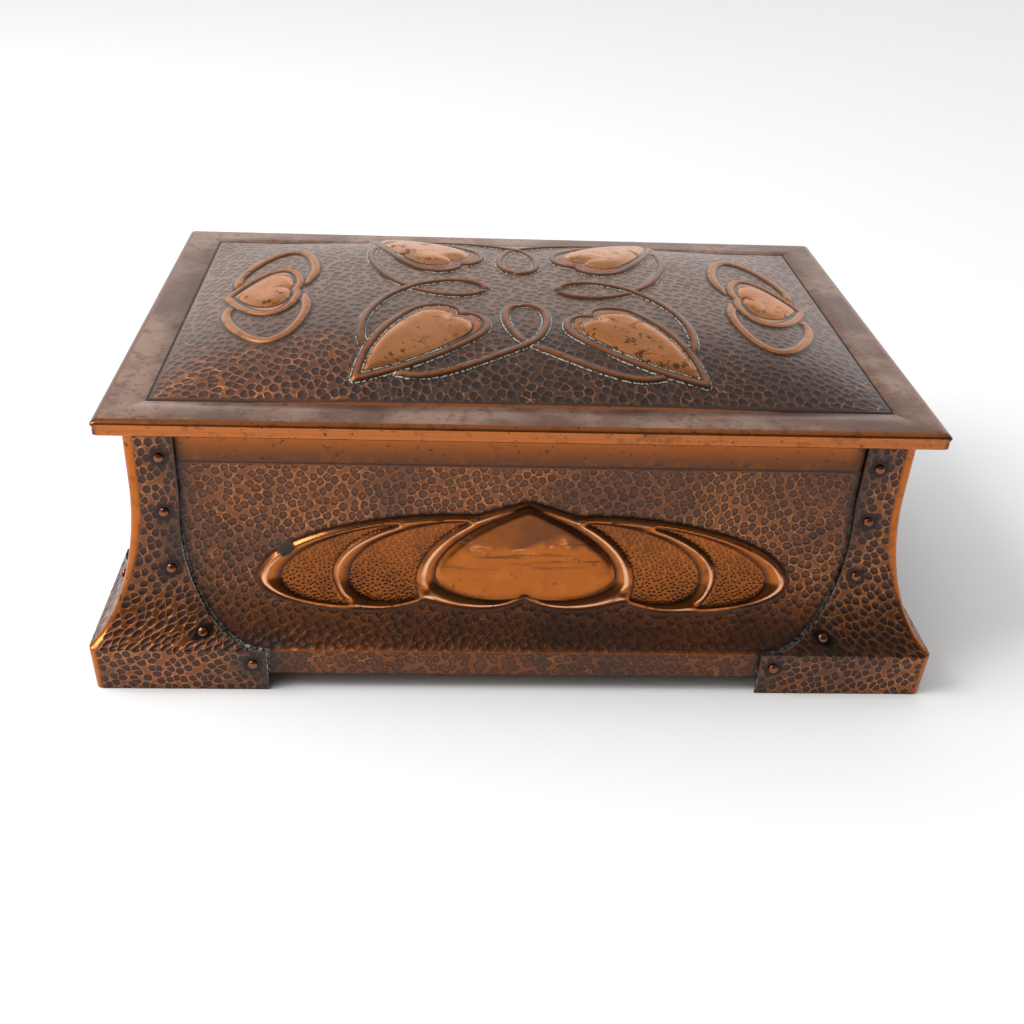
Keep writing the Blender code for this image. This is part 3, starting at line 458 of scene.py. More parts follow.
def blend(share, first, second):
    """A number between two, by a share from 0 to 1."""
    return Value(node("ShaderNodeMix", {0: share, 2: first, 3: second}).outputs[0])


def painted(colour, *coats):
    """A colour with other colours laid over it in order, each by its mask."""
    for mask, coat in coats:
        colour = mix(mask, colour, coat)
    return colour


def stretched(place, scale):
    """Coordinates scaled differently along each axis."""
    return Value(node("ShaderNodeMapping", {"Vector": place, "Scale": scale}).outputs[0])


def away_from(place, spot):
    """The distance of each place from a spot."""
    return Value(node("ShaderNodeVectorMath", {0: place, 1: spot}, operation="DISTANCE").outputs["Value"])


def noise(place, scale, detail=3.0, roughness=0.55):
    """A cloudy value round 0.5, with its scale in features per unit."""
    values = {"Vector": place, "Scale": scale, "Detail": detail, "Roughness": roughness}
    return Value(node("ShaderNodeTexNoise", values).outputs[0])


def marks_pattern(place, spacing, feature):
    """The cells that the hammer left on a sheet, spaced in mm."""
    values = {"Vector": place, "Scale": 1.0 / spacing, "Randomness": MARK_SCATTER}
    return results(node("ShaderNodeTexVoronoi", values, voronoi_dimensions="2D", feature=feature))


def bowl(away):
    """The shape of one blow: -1 in the middle of its cell, rising to 0 at its border."""
    return calc("SMOOTH_MIN", away * 1.9, 1.0, 0.3) - 1.0


def group(name, inputs, outputs, family="Shader", kind_out="Float"):
    """An empty node group, with its inputs as values and the node that takes its results."""
    tree = bpy.data.node_groups.new(name, family + "NodeTree")
    for label, kind in inputs.items():
        tree.interface.new_socket(label, in_out="INPUT", socket_type="NodeSocket" + kind)
    for label in outputs:
        tree.interface.new_socket(label, in_out="OUTPUT", socket_type="NodeSocket" + kind_out)
    return tree, results(tree.nodes.new("NodeGroupInput")), tree.nodes.new("NodeGroupOutput")


def use(shared, **values):
    """Places a shader group among the values that feed it, and returns its outputs."""
    return results(node("ShaderNodeGroup", values, node_tree=shared))


def hammer_blows():
    """A modifier tree that sinks the finish's own hammer marks into the mesh itself."""
    tree, given, result = group("hammer_blows", {"Geometry": "Geometry", "Spacing": "Float"},
                                ["Geometry"], "Geometry", "Geometry")
    place, weight = (tree.nodes.new("GeometryNodeInputNamedAttribute") for _ in range(2))
    place.data_type = "FLOAT_VECTOR"
    place.inputs["Name"].default_value = "sheet"
    weight.inputs["Name"].default_value = "hammered"
    pits = marks_pattern(results(place).attribute, given.spacing, "F1")
    sunk = bowl(pits.distance) * MARK_DEPTH * results(weight).attribute
    facing = results(tree.nodes.new("GeometryNodeInputNormal")).normal
    push = results(node("ShaderNodeVectorMath", {0: facing, "Scale": sunk}, operation="SCALE"))
    move = results(node("GeometryNodeSetPosition", {"Geometry": given.geometry, "Offset": push.vector}))
    feed(result, {"Geometry": move.geometry})
    return tree


def hammer_in(piece, tree, spacing):
    """Hammers a piece and keeps the result as its plain mesh."""
    blows = piece.modifiers.new("blows", "NODES")
    blows.node_group = tree
    blows[tree.interface.items_tree["Spacing"].identifier] = spacing
    graph = bpy.context.evaluated_depsgraph_get()
    mesh = bpy.data.meshes.new_from_object(piece.evaluated_get(graph))
    piece.modifiers.clear()
    piece.data = mesh


def hammer_marks():
    """Round dark pits, the bright rims round them, a value for each pit, and the height in mm."""
    tree, given, result = group("hammer_marks", {"Sheet": "Vector", "Spacing": "Float", "Centre": "Float"},
                                ["Pit", "Ridge", "Cell", "Height"])
    pits = marks_pattern(given.sheet, given.spacing, "F1")
    borders = marks_pattern(given.sheet, given.spacing, "DISTANCE_TO_EDGE")
    cell, other, _ = split("Color", pits.color)
    wobble = (noise(given.sheet, 0.6, 2.0) - 0.5) * 0.22
    reach = pits.distance + wobble + other * 0.07
    between = borders.distance + wobble * 0.3
    disc = step(reach, 0.51, 0.46) * step(between, 0.02, 0.07)
    centre = step(reach, 0.38, 0.27) * given.centre * (0.5 + cell * 0.5)
    seam = step(between, 0.075, 0.02) * step(reach, 0.78, 0.62)
    crest = either(hump(reach, 0.47, 0.53, 0.55, 0.61), seam)
    broken = step(noise(given.sheet, 0.45), 0.38, 0.56)
    feed(result, {"Pit": disc - disc * centre, "Ridge": crest * (0.2 + broken * 0.8), "Cell": cell,
                  "Height": bowl(pits.distance) * 0.14 + crest * 0.05})
    return tree


def patina():
    """Clouds, blotches and specks that the years left on the copper, each from 0 to 1."""
    tree, given, result = group("patina", {"Place": "Vector"},
                                ["Cloud", "Blotch", "Mottle", "Speck", "Grain", "Wave"])
    feed(result, {"Cloud": step(noise(given.place, 26.0, 4.0), 0.38, 0.64),
                  "Blotch": step(noise(given.place, 105.0, 4.0, 0.62), 0.50, 0.68),
                  "Mottle": step(noise(given.place, 240.0, 4.0, 0.65), 0.52, 0.63),
                  "Speck": step(noise(given.place, 420.0), 0.62, 0.72),
                  "Grain": noise(given.place, 900.0, 3.0, 0.7),
                  "Wave": noise(given.place, 70.0, 2.0)})
    return tree


def verdigris():
    """A broken green-white bloom along a line, from the distance to the line in mm."""
    tree, given, result = group("verdigris", {"Place": "Vector", "Away": "Float", "Width": "Float"},
                                ["Bloom"])
    near = step(abs(given.away) / given.width, 1.0, 0.5)
    beads = step(noise(given.place, 1000.0, 2.0), 0.42, 0.54)
    stretches = step(noise(given.place, 34.0, 2.0), 0.36, 0.50)
    feed(result, {"Bloom": near * beads * stretches})
    return tree


def blank(name):
    """A new material with an empty tree, and its object coordinates."""
    material = bpy.data.materials.new(name + "_finish")
    material.use_nodes = True
    material.node_tree.nodes.clear()
    return material, results(material.node_tree.nodes.new("ShaderNodeTexCoord")).object


def marks_on(material, *names):
    """A piece's own attributes: numbers, or the place on its sheet."""
    values = []
    for name in names:
        made = material.node_tree.nodes.new("ShaderNodeAttribute")
        made.attribute_name = name
        values.append(Value(made.outputs["Vector" if name == "sheet" else "Fac"]))
    return values


def shade(material, colour, roughness, coat, height, metallic):
    """Joins the finished values to the one shader of a material."""
    new = material.node_tree.nodes.new
    skin, out, bump = (new("ShaderNode" + kind) for kind in ("BsdfPrincipled", "OutputMaterial", "Bump"))
    feed(bump, {"Height": height, "Distance": 0.001, "Strength": 1.0})
    feed(skin, {"Base Color": colour, "Roughness": roughness, "Metallic": metallic,
                "Coat Weight": coat, "Coat Roughness": 0.22, "Normal": Value(bump.outputs[0])})
    feed(out, {"Surface": Value(skin.outputs[0])})
    return material


# The casing
def strap_outline():
    """The inner edge of one leg of a strap from the top down, as (distance from the corner, height)."""
    turns = np.linspace(0.0, math.pi / 2, 40)
    sweep = np.stack([FOOT_LENGTH - (FOOT_LENGTH - STRAP_WIDTH) * np.cos(turns),
                      FOOT_HEIGHT + STRAP_SWEEP_RISE * (1.0 - np.sin(turns))], axis=1)
    return np.vstack([[STRAP_WIDTH, STRAP_TOP], sweep, [FOOT_LENGTH - FOOT_END_SLANT, 0.0]])


STRAP_EDGE = strap_outline()


def strap_edge(height):
    """How far the inner edge of a strap lies from the corner at each height."""
    return np.interp(height, STRAP_EDGE[::-1, 1], STRAP_EDGE[::-1, 0])


def from_strap(distance, height):
    """How far points lie from the inner edge of a strap, in mm, negative on the strap."""
    away = distance_to(np.stack([distance, height], axis=1), STRAP_EDGE, False) * MM
    return np.where(distance > strap_edge(height), away, -away)


def front_motif():
    """The raised figure of the front wall: its outline, its far and near fields, and its heart."""
    def place(points, side=1.0):
        return [np.array((MOTIF_SHIFT + side * x * MOTIF_HALF_LENGTH,
                          MOTIF_BOTTOM + y * MOTIF_HEIGHT)) for x, y in points]

    run = curve((0, 1), (6, (0.07, 0.96), (0.14, 0.89), (0.20, 0.86)),
                (20, (0.50, 0.90), (0.98, 0.66), (1.0, 0.28)), (14, (1.01, 0.08), (0.78, 0), (0.56, 0)),
                (6, (0.50, 0), (0.43, 0.04), (0.38, 0.09)), (6, (0.32, 0.04), (0.25, 0.01), (0.17, 0.01)),
                (6, (0.10, 0.01), (0.04, 0.05), (0, 0.115)))
    near = curve((0.22, 0.81), (14, (0.40, 0.82), (0.663, 0.59), (0.663, 0.30)),
                 (12, (0.663, 0.10), (0.55, 0.02), (0.40, 0.11)),
                 (14, (0.445, 0.35), (0.37, 0.61), (0.22, 0.81)))
    far = curve((0.48, 0.78), (14, (0.70, 0.73), (0.916, 0.47), (0.916, 0.29)),
                (10, (0.916, 0.12), (0.80, 0.05), (0.665, 0.05)),
                (14, (0.775, 0.33), (0.73, 0.57), (0.48, 0.78)))
    tip = (MOTIF_SHIFT, MOTIF_BOTTOM + MOTIF_HEIGHT - FRONT_HEART_TIP_DROP)
    middle = moved(heart(FRONT_HEART_LENGTH, FRONT_HEART_HALF_WIDTH, 0.74), tip, 0.0, 1.0, -1.0)
    return [place(mirrored(run + [np.array((0, 0.115))])),
            [place(far, side) for side in (-1.0, 1.0)],
            [place(near, side) for side in (-1.0, 1.0)], middle]


def motif_relief(points):
    """The height of the front figure above the wall, and its distances, in metres."""
    outline, far, near, middle = front_motif()
    figure = within(points, outline)
    fields = [np.minimum(*(within(points, loop) for loop in loops)) for loops in (far, near)]
    cushion = within(points, middle)
    lines = np.abs(np.stack([figure] + fields + [cushion]))
    nearest = np.sort(np.argsort(lines, axis=0)[:2], axis=0)
    outer, inner = np.take_along_axis(lines, nearest, axis=0)
    share = outer / np.maximum(outer + inner, 1e-9)
    peak = np.where(nearest[1] == 3, 0.44, 0.30)
    past = np.clip((share - peak) / (1.0 - peak), 0.0, 1.0)
    crest = dome_curve(share / peak) * (1.0 - 0.95 * past ** 1.3)
    band = MOTIF_FIELD_RISE + (MOTIF_BAND_RISE - MOTIF_FIELD_RISE) * crest
    swell = (dome_curve(-cushion / 0.0028) + dome_curve(-cushion / (FRONT_HEART_HALF_WIDTH * 0.5))) / 2
    heart_rise = MOTIF_FIELD_RISE + (FRONT_HEART_RISE - MOTIF_FIELD_RISE) * swell
    hollow = np.minimum(fields[0], fields[1])
    height = np.where(cushion < 0.0, heart_rise, np.where(hollow < 0.0, MOTIF_FIELD_RISE, band))
    height *= ease(-figure, 0.0, 0.0011)
    return height, figure, hollow, cushion, np.where((cushion < 0.0) | (hollow < 0.0), 1.0, crest)


def softened(values, columns, rows, times):
    """A height over the fine face of a plate, blurred a little so that no step is sharp."""
    count = (columns + 1) * (rows + 1)
    face = values[:count].reshape(rows + 1, columns + 1).copy()
    for _ in range(times):
        face[1:-1] = (face[:-2] + 2 * face[1:-1] + face[2:]) / 4
        face[:, 1:-1] = (face[:, :-2] + 2 * face[:, 1:-1] + face[:, 2:]) / 4
    values[:count] = face.ravel()
    return values


def wall_down(rows_share):
    """The height on the straps' outside for shares of the way up the casing's walls."""
    base = np.interp(-BASE_CLEARANCE, -HEIGHTS, RUN_DOWN)
    return np.interp((1.0 - rows_share) * base, RUN_DOWN, HEIGHTS)


def strip_marks(height):
    """How strongly the wall is hammered: not at all on the strip over the chased line."""
    return ease(STRAP_TOP - TOP_STRIP - height, 0.0004, 0.0012)


def chased(height):
    """How deep the line under the top strip is chased."""
    return CHASED_DEPTH * np.clip(1.0 - np.abs(height - STRAP_TOP + TOP_STRIP) / (CHASED_WIDTH / 2), 0, 1)


def bend_front(flat):
    """The front wall with its raised figure."""
    height = wall_down(flat[:, 1])
    outside = BODY_HALF_LENGTH + profile_at(height, CASING_OUTER)[0]
    along = shares(flat)[0] * outside
    rise, figure, hollow, cushion, crest = motif_relief(np.stack([along, height], axis=1))
    rise = softened(rise, FRONT_COLUMNS, FRONT_ROWS, 2) * (flat[:, 2] == 0.0)
    depth = np.where(flat[:, 2] < 0.0, CASING_INNER, CASING_OUTER + chased(height) - rise)
    flare, up = profile_at(height, depth)
    spots = np.stack([along, -BODY_HALF_DEPTH - flare, up], axis=1)
    corner = BODY_HALF_LENGTH + along_profile(height, FLARES)
    run = along_profile(height, RUN_DOWN)
    marks = {"sheet": hand_laid(along, run, height), "strap": from_strap(corner - np.abs(along), height),
             "figure": figure * MM, "hollow": hollow * MM, "cushion": cushion * MM, "crest": crest,
             "hammered": strip_marks(height) * ease(figure, 0.0002, 0.0012) * (flat[:, 2] == 0.0)}
    return spots, marks


def bend_sides(flat):
    """The right, back and left walls in one sheet, from the right front corner round to the left."""
    height = wall_down(flat[:, 1])
    depth = np.where(flat[:, 2] < 0.0, CASING_INNER, CASING_OUTER + chased(height))
    flare, up = profile_at(height, depth)
    column = flat[:, 0] * (2 * SIDE_COLUMNS + BACK_COLUMNS)
    right = 2.0 * column / SIDE_COLUMNS - 1.0
    back = 2.0 * (column - SIDE_COLUMNS) / BACK_COLUMNS - 1.0
    left = 2.0 * (column - SIDE_COLUMNS - BACK_COLUMNS) / SIDE_COLUMNS - 1.0
    on_right, on_left = right <= 1.0, left >= -1.0
    x_share = np.where(on_right, 1.0, np.where(on_left, -1.0, -back))
    y_share = np.where(on_right, right, np.where(on_left, -left, 1.0))
    length, width = BODY_HALF_LENGTH + flare, BODY_HALF_DEPTH + flare
    spots = np.stack([x_share * length, y_share * width, up], axis=1)
    ends = np.where(on_right | on_left, 1.0 - np.abs(y_share), 1.0 - np.abs(x_share))
    half = np.where(on_right | on_left, width, length)
    along = np.where(on_right, y_share * width,
                     np.where(on_left, 0.7 - y_share * width, 0.3 - x_share * length))
    marks = {"sheet": hand_laid(along, along_profile(height, RUN_DOWN), height),
             "strap": from_strap(ends * half + CASING_OUTER, height),
             "hammered": strip_marks(height) * (flat[:, 2] == 0.0)}
    return spots, marks | unmarked(len(flat), "figure", "hollow", "cushion", "crest")


def bend_floor(flat):
    """The bottom of the casing, let in between its walls."""
    inner = profile_at(np.array([BASE_CLEARANCE]), CASING_INNER)[0][0]
    x_share, y_share = shares(flat)
    up = BASE_CLEARANCE + np.where(flat[:, 2] < 0.0, 0.0, CASING_SHEET)
    spots = np.stack([x_share * (BODY_HALF_LENGTH + inner - GAP / 10),
                      y_share * (BODY_HALF_DEPTH + inner - GAP / 10), up], axis=1)
    marks = {"sheet": spots * MM, "hammered": np.zeros(len(flat))}
    return spots, marks | unmarked(len(flat), "strap", "figure", "hollow", "cushion", "crest")


# The straps
STRAP_HEIGHTS = np.concatenate([
    [0.0, 0.0003], np.linspace(0.0, FOOT_HEIGHT, 22)[1:],
    FOOT_HEIGHT + STRAP_SWEEP_RISE * (1.0 - np.cos(np.linspace(0.0, math.pi / 2, 65)))[1:],
    np.linspace(FOOT_HEIGHT + STRAP_SWEEP_RISE, STRAP_TOP - 0.0003, 41)[1:], [STRAP_TOP]])
EDGE_DEPTHS = (0.00012, 0.0004, 0.0008)


def rivet_places():
    """(distance from the corner, height) of the rivets of one leg."""
    top, bottom = STRAP_TOP - RIVET_TOP_DROP, FOOT_HEIGHT + RIVET_ABOVE_FOOT
    heights = [top + (bottom - top) * row / (RIVET_ROWS - 1) for row in range(RIVET_ROWS)]
    places = []
    for height in heights + [FOOT_RIVET_HEIGHT]:
        setback = (LOW_RIVET_SETBACK if height == bottom else RIVET_SETBACK) * MM
        tries = np.linspace(CORNER_INSET, strap_edge(height), 4000)
        deep = tries[from_strap(tries, np.full(4000, height)) < -setback]
        places.append((deep[-1], height))
    return places


RIVETS = rivet_places()


def strap_point(across, height, depth):
    """A point of a strap whose corner stands at the origin; across is negative on the front leg."""
    flare, up = profile_at(height, depth)
    outside = profile_at(height, 0.0)[0]
    centre = outside - CORNER_INSET
    turn = math.pi / 4 * (np.clip(across / CORNER_INSET, -1.0, 1.0) - 1.0)
    x = centre + (flare - centre) * np.cos(turn) + np.minimum(across + CORNER_INSET, 0.0)
    y = -centre + (flare - centre) * np.sin(turn) + np.maximum(across - CORNER_INSET, 0.0)
    return np.stack([x, y, up], axis=-1)


def bend_strap(place, number):
    """One strap bent round its corner; its number keeps its hammer marks apart from the others'."""
    def bend(flat):
        rows = len(STRAP_HEIGHTS) - 1
        height = np.interp(flat[:, 1] * rows, np.arange(rows + 1), STRAP_HEIGHTS)
        column = (flat[:, 0] - 0.5) * STRAP_COLUMNS
        legs = STRAP_COLUMNS / 2 - BEND_COLUMNS - 1
        leg = np.clip((np.abs(column) - BEND_COLUMNS) / legs, 0.0, 1.0)
        reach = CORNER_INSET + leg * (strap_edge(height) - CORNER_INSET - 0.0003)
        reach += np.clip(np.abs(column) - STRAP_COLUMNS / 2 + 1.0, 0.0, 1.0) * 0.0003
        bent = np.where(np.abs(column) <= BEND_COLUMNS, CORNER_INSET * np.abs(column) / BEND_COLUMNS, reach)
        across = np.sign(column) * bent
        rim = (np.abs(column) > STRAP_COLUMNS / 2 - 0.5) | (flat[:, 1] < 1e-6) | (flat[:, 1] > 1 - 1e-6)
        layers = np.concatenate([[0.0], EDGE_DEPTHS, [STRAP_SHEET]])
        depth = layers[np.round(-flat[:, 2]).astype(int)]
        depth = np.where((flat[:, 2] == 0.0) & rim, 0.00003, depth)
        spots = strap_point(across, height, depth)
        turned = spots @ np.array(place.to_3x3()).T + np.array(place.translation)
        run = along_profile(height, RUN_DOWN)
        edge = -from_strap(np.abs(across), height)
        rivets = [np.hypot(np.abs(across) - far, run - along_profile(up, RUN_DOWN)) for far, up in RIVETS]
        rivet = np.min(rivets, axis=0) * MM
        top = ease(height, FOOT_HEIGHT + 0.012, FOOT_HEIGHT + 0.045)
        corner = np.abs(across) * MM - 1.6 - 2.2 * top - ease(FOOT_HEIGHT - height, -0.001, 0.002)
        hammered = ease(edge, 0.2, 0.9) * ease(rivet, 2.6, 3.6) * ease(corner, -0.4, 0.9)
        return turned, {"sheet": hand_laid(across + 0.11 * number, run, height),
                        "edge": edge, "rivet": rivet, "corner": corner,
                        "hammered": hammered * (flat[:, 2] == 0.0)}
    return bend


def corner_place(quarter, side_x, side_y):
    """Takes a strap from the origin to its own corner of the casing."""
    place = Vector((side_x * BODY_HALF_LENGTH, side_y * BODY_HALF_DEPTH, 0.0))
    return Matrix.Translation(place) @ Matrix.Rotation(math.radians(90.0) * quarter, 4, "Z")


CORNERS = (("front_right", 0, 1, -1), ("back_right", 1, 1, 1), ("back_left", 2, -1, 1),
           ("front_left", 3, -1, -1))


# The rivets
def rivet_seat(across, height):
    """The place of a rivet on a strap at the origin, square to the sheets."""
    def point(up, depth=0.0):
        return Vector(strap_point(np.array(across), np.array(up), depth))

    seat = point(height)
    out = (seat - point(height, CASING_INNER)).normalized()
    rims = (point(height + RIVET_HEAD_RADIUS), point(height - RIVET_HEAD_RADIUS))
    lift = max(0.0, *((rim - seat).dot(out) for rim in rims))
    return Matrix.Translation(seat + out * (lift + GAP)) @ out.to_track_quat("Z", "Y").to_matrix().to_4x4()


def rivet_heads(place):
    """The domed heads of one strap's rivets, closed below, where they rest on the strap."""
    shape = bmesh.new()
    for across, height in RIVETS:
        for side in (-1.0, 1.0):
            seat = place @ rivet_seat(side * across, height)
            head = bmesh.ops.create_uvsphere(shape, u_segments=24, v_segments=14,
                                             radius=RIVET_HEAD_RADIUS)["verts"]
            for point in head:
                flat = 1.0 if point.co.z > 0.0 else 0.45
                point.co.z *= flat * (RIVET_HEAD_HEIGHT - 0.00002) / RIVET_HEAD_RADIUS
            bmesh.ops.transform(shape, matrix=seat, verts=head)
    return shape


def stay(flat):
    """Leaves a shape where it was made."""
    return flat, {}


# The lid
def long_cords():
    """The knotted cord as strands in order: those that pass over first, then those under them."""
    width, tip_x, tip_y = LOOP_HALF_WIDTH, HEART_TIP_X, HEART_TIP_Y
    crossing = LOOP_NEAR + LOOP_LENGTH
    front = [(0.0, LOOP_NEAR), (width * 0.78, LOOP_NEAR + LOOP_LENGTH * 0.12),
             (width, LOOP_NEAR + LOOP_LENGTH * 0.42), (width * 0.68, LOOP_NEAR + LOOP_LENGTH * 0.76),
             (0.0, crossing), (-tip_x * 0.26, tip_y * 0.85), (-tip_x * 0.47, tip_y * 0.94),
             (-tip_x * 0.64, tip_y * 0.975), (-tip_x * 0.765, tip_y * 0.955)]
    crossing = LOOP_END_NEAR + LOOP_END_LENGTH
    side = [(LOOP_END_NEAR, 0.0), (LOOP_END_NEAR + LOOP_END_LENGTH * 0.14, width * 0.78),
            (LOOP_END_NEAR + LOOP_END_LENGTH * 0.46, width),
            (LOOP_END_NEAR + LOOP_END_LENGTH * 0.78, width * 0.6),
            (crossing, 0.0), (tip_x * 0.87, -tip_y * 0.17), (tip_x * 0.97, -tip_y * 0.40),
            (tip_x * 0.99, -tip_y * 0.62), (tip_x * 0.95, -tip_y * 0.79)]
    over, under = [], []
    for sign in (-1.0, 1.0):
        for points, scale, other in ((front, (1.0, sign), (-1.0, 1.0)), (side, (sign, 1.0), (1.0, -1.0))):
            half = [np.array(point) * scale for point in points]
            rest = [point * other for point in half]
            for strand, ends in ((half, rest[1]), (rest, half[1])):
                line = moved(smooth_line([ends] + strand)[6:], (DESIGN_SHIFT, 0.0))
                (over if strand is half else under).append(line)
    return over, under


def end_ring():
    """One ring of an end motif, from the heart's flank round to its lobe, in the heart's own frame."""
    places = [(-0.84, 0.16), (-0.95, 0.38), (-0.74, 0.62), (-0.36, 0.84), (0.0, 0.96),
              (0.38, 0.98), (0.74, 0.84), (0.95, 0.58), (0.98, 0.34), (0.82, 0.13)]
    middle = END_HEART_LENGTH * 0.6
    return smooth_line([np.array((y * END_RING_REACH, middle + x * END_RING_HALF_WIDTH))
                        for x, y in places], 4)


def lid_design():
    """Strands as (line, closed, width) from the topmost down, and hearts as (line, rise, swelling)."""
    outlines, rings, hearts = [], [], []
    turn = HEART_TURN - math.radians(90.0)
    small = moved(heart(INNER_HEART_LENGTH, INNER_HEART_HALF_WIDTH), (0.0, INNER_HEART_OFFSET))
    for flip_x in (-1.0, 1.0):
        for flip_y in (-1.0, 1.0):
            tip = (DESIGN_SHIFT + flip_x * HEART_TIP_X, -flip_y * HEART_TIP_Y)
            outline = moved(heart(HEART_LENGTH, HEART_HALF_WIDTH), tip, turn, flip_x, flip_y)
            outlines.append((outline, True, CORD_WIDTH))
            hearts.append((moved(small, tip, turn, flip_x, flip_y), INNER_HEART_RISE,
                           INNER_HEART_HALF_WIDTH * 0.5))
    small = moved(heart(END_INNER_LENGTH, END_INNER_HALF_WIDTH, 0.68), (0.0, END_INNER_OFFSET))
    for side in (-1.0, 1.0):
        tip, turn = (END_SHIFT + side * END_TIP_X, 0.0), side * math.radians(90.0)
        outlines.append((moved(heart(END_HEART_LENGTH, END_HEART_HALF_WIDTH, 0.68), tip, turn), True,
                         CORD_WIDTH * 1.2))
        hearts.append((moved(small, tip, turn), END_INNER_RISE, END_INNER_HALF_WIDTH * 0.4))
        for flip in (-1.0, 1.0):
            ring = [point * (flip, 1.0) for point in end_ring()]
            rings.append((moved(ring, tip, turn), False, CORD_WIDTH * 1.45))
    over, under = long_cords()
    strands = outlines + rings + [(line, False, CORD_WIDTH) for line in over + under]
    return strands, hearts


def dome_at(x, y):
    """The height of the domed panel above the lid's flat rim."""
    across = 1.0 - np.minimum(np.abs(x) / PANEL_HALF_LENGTH, 1.0) ** DOME_POWER
    along = 1.0 - np.minimum(np.abs(y) / PANEL_HALF_DEPTH, 1.0) ** DOME_POWER
    return DOME_RISE * across * along


def panel_relief(points):
    """The design's height over the dome, with the distances to its cords, bands and hearts."""
    strands, hearts = lid_design()
    height = np.zeros(len(points))
    cord = np.full(len(points), 0.020)
    for line, closed, width in reversed(strands):
        away = distance_to(points, line, closed)
        own = away - width / 2 - CORD_FOOT
        covers = own < 0.0005
        rise = CORD_RISE * dome_curve(1.0 - away / (width / 2 + CORD_FOOT)) ** 1.15
        rise -= CORD_LINE_DEPTH * ease(0.0006 - np.abs(own - 0.0002), 0.0, 0.0006)
        height = np.where(covers, rise, height)
        cord = np.where(covers, own, np.minimum(cord, own))
    cushion = np.full(len(points), 0.020)
    band = np.full(len(points), 0.020)
    for (outline, _, width), (line, rise, swelling) in zip(strands, hearts):
        own, frame_line = within(points, line), within(points, outline)
        swell = rise * dome_curve(-own / swelling)
        between = np.minimum(own, -frame_line - width / 2 - CORD_FOOT)
        ridge = 0.0007 * dome_curve(between / 0.0010) * (between > 0.0)
        height = np.where(own < 0.0, swell, height + ridge)
        band = np.where(between > 0.0, -between, band)
        cushion = np.minimum(cushion, own)
    return height, cord, cushion, band


def lid_rings():
    """(how far outside the panel, height) for each ring of the rim, edge and underside, in order."""
    widest, groove, under = (LID_BOTTOM + EDGE_WIDEST_HEIGHT, LID_BOTTOM + EDGE_GROOVE_HEIGHT,
                             LID_TOP - LID_SHEET)
    turns = np.linspace(0.0, math.pi / 2, 6)
    seat = LID_OVERHANG + CASING_OUTER - SEAT_MARGIN
    lip_outer = LID_OVERHANG + CASING_INNER + LIP_CLEARANCE
    lip_inner = lip_outer + LIP_THICKNESS
    insets = [(RIM_WIDTH - CHASED_WIDTH / 2, LID_TOP - CHASED_DEPTH), (RIM_WIDTH - CHASED_WIDTH, LID_TOP),
              (RIM_WIDTH * 0.6, LID_TOP - 0.0001)]
    insets += [(EDGE_ROUND_WIDTH * (1 - math.sin(turn)),
                LID_TOP - (LID_TOP - widest) * (1 - math.cos(turn))) for turn in turns]
    insets += [(0.0003, widest - 0.0008), (EDGE_GROOVE_DEPTH * 0.7, groove),
               (EDGE_BAND_INSET, groove - EDGE_GROOVE_DEPTH * 0.6),
               (EDGE_BAND_INSET, LID_BOTTOM + 0.0005), (EDGE_UNDERSIDE_INSET, LID_BOTTOM),
               (EDGE_THICKNESS, LID_BOTTOM), (EDGE_THICKNESS, under), (seat, under), (seat, LID_BOTTOM),
               (lip_outer, LID_BOTTOM), (lip_outer, LID_BOTTOM - LIP_DROP),
               (lip_inner, LID_BOTTOM - LIP_DROP), (lip_inner, under)]
    return np.array([(RIM_WIDTH - inset, height) for inset, height in insets])


LID_RINGS = lid_rings()


def bend_lid(flat):
    """The lid: the domed panel with its design, then the rim, the rolled edge, the seat and the lip."""
    layer = np.round(-flat[:, 2]).astype(int)
    outsets = np.concatenate([[0.0], LID_RINGS[:, 0], LID_RINGS[-1:, 0]])[layer]
    heights = np.concatenate([[LID_TOP], LID_RINGS[:, 1], LID_RINGS[-1:, 1]])[layer]
    half_length, half_depth = PANEL_HALF_LENGTH + outsets, PANEL_HALF_DEPTH + outsets
    x_share, y_share = shares(flat)
    x, y = x_share * half_length, y_share * half_depth
    relief, cord, cushion, band = panel_relief(np.stack([x, y], axis=1))
    face = layer == 0
    relief = softened(relief, PANEL_COLUMNS, PANEL_ROWS, 1)
    border = np.minimum(PANEL_HALF_LENGTH - np.abs(x), PANEL_HALF_DEPTH - np.abs(y))
    up = heights + np.where(face, dome_at(x, y) + relief, 0.0)
    up += np.where(layer == len(LID_RINGS) + 1, dome_at(x, y), 0.0)
    straight_x, straight_y = half_length - LID_CORNER_ROUND, half_depth - LID_CORNER_ROUND
    past_x, past_y = np.abs(x) - straight_x, np.abs(y) - straight_y
    corner = (past_x > 0.0) & (past_y > 0.0) & (layer > 3) & (layer < 16)
    pull = np.minimum(LID_CORNER_ROUND / np.maximum(np.hypot(past_x, past_y), 1e-9), 1.0)
    x = np.where(corner, np.sign(x) * (straight_x + past_x * pull), x)
    y = np.where(corner, np.sign(y) * (straight_y + past_y * pull), y)
    steps = np.hypot(np.diff(LID_RINGS[:, 0], prepend=0.0), np.diff(LID_RINGS[:, 1], prepend=LID_TOP))
    round_edge = np.concatenate([[0.0], -np.cumsum(steps), [-0.1]])[layer]
    inner = ease(np.minimum(cord, np.minimum(cushion, np.where(band < 0.02, 0.0, 1.0))), 0.0004, 0.0012)
    marks = {"sheet": hand_laid(x + 0.3, y, up), "cord": cord * MM, "cushion": cushion * MM,
             "band": band * MM, "rim": np.where(face, border, round_edge) * MM,
             "hammered": face * inner * ease(border, 0.0004, 0.002)}
    return np.stack([x, y, up], axis=1), marks


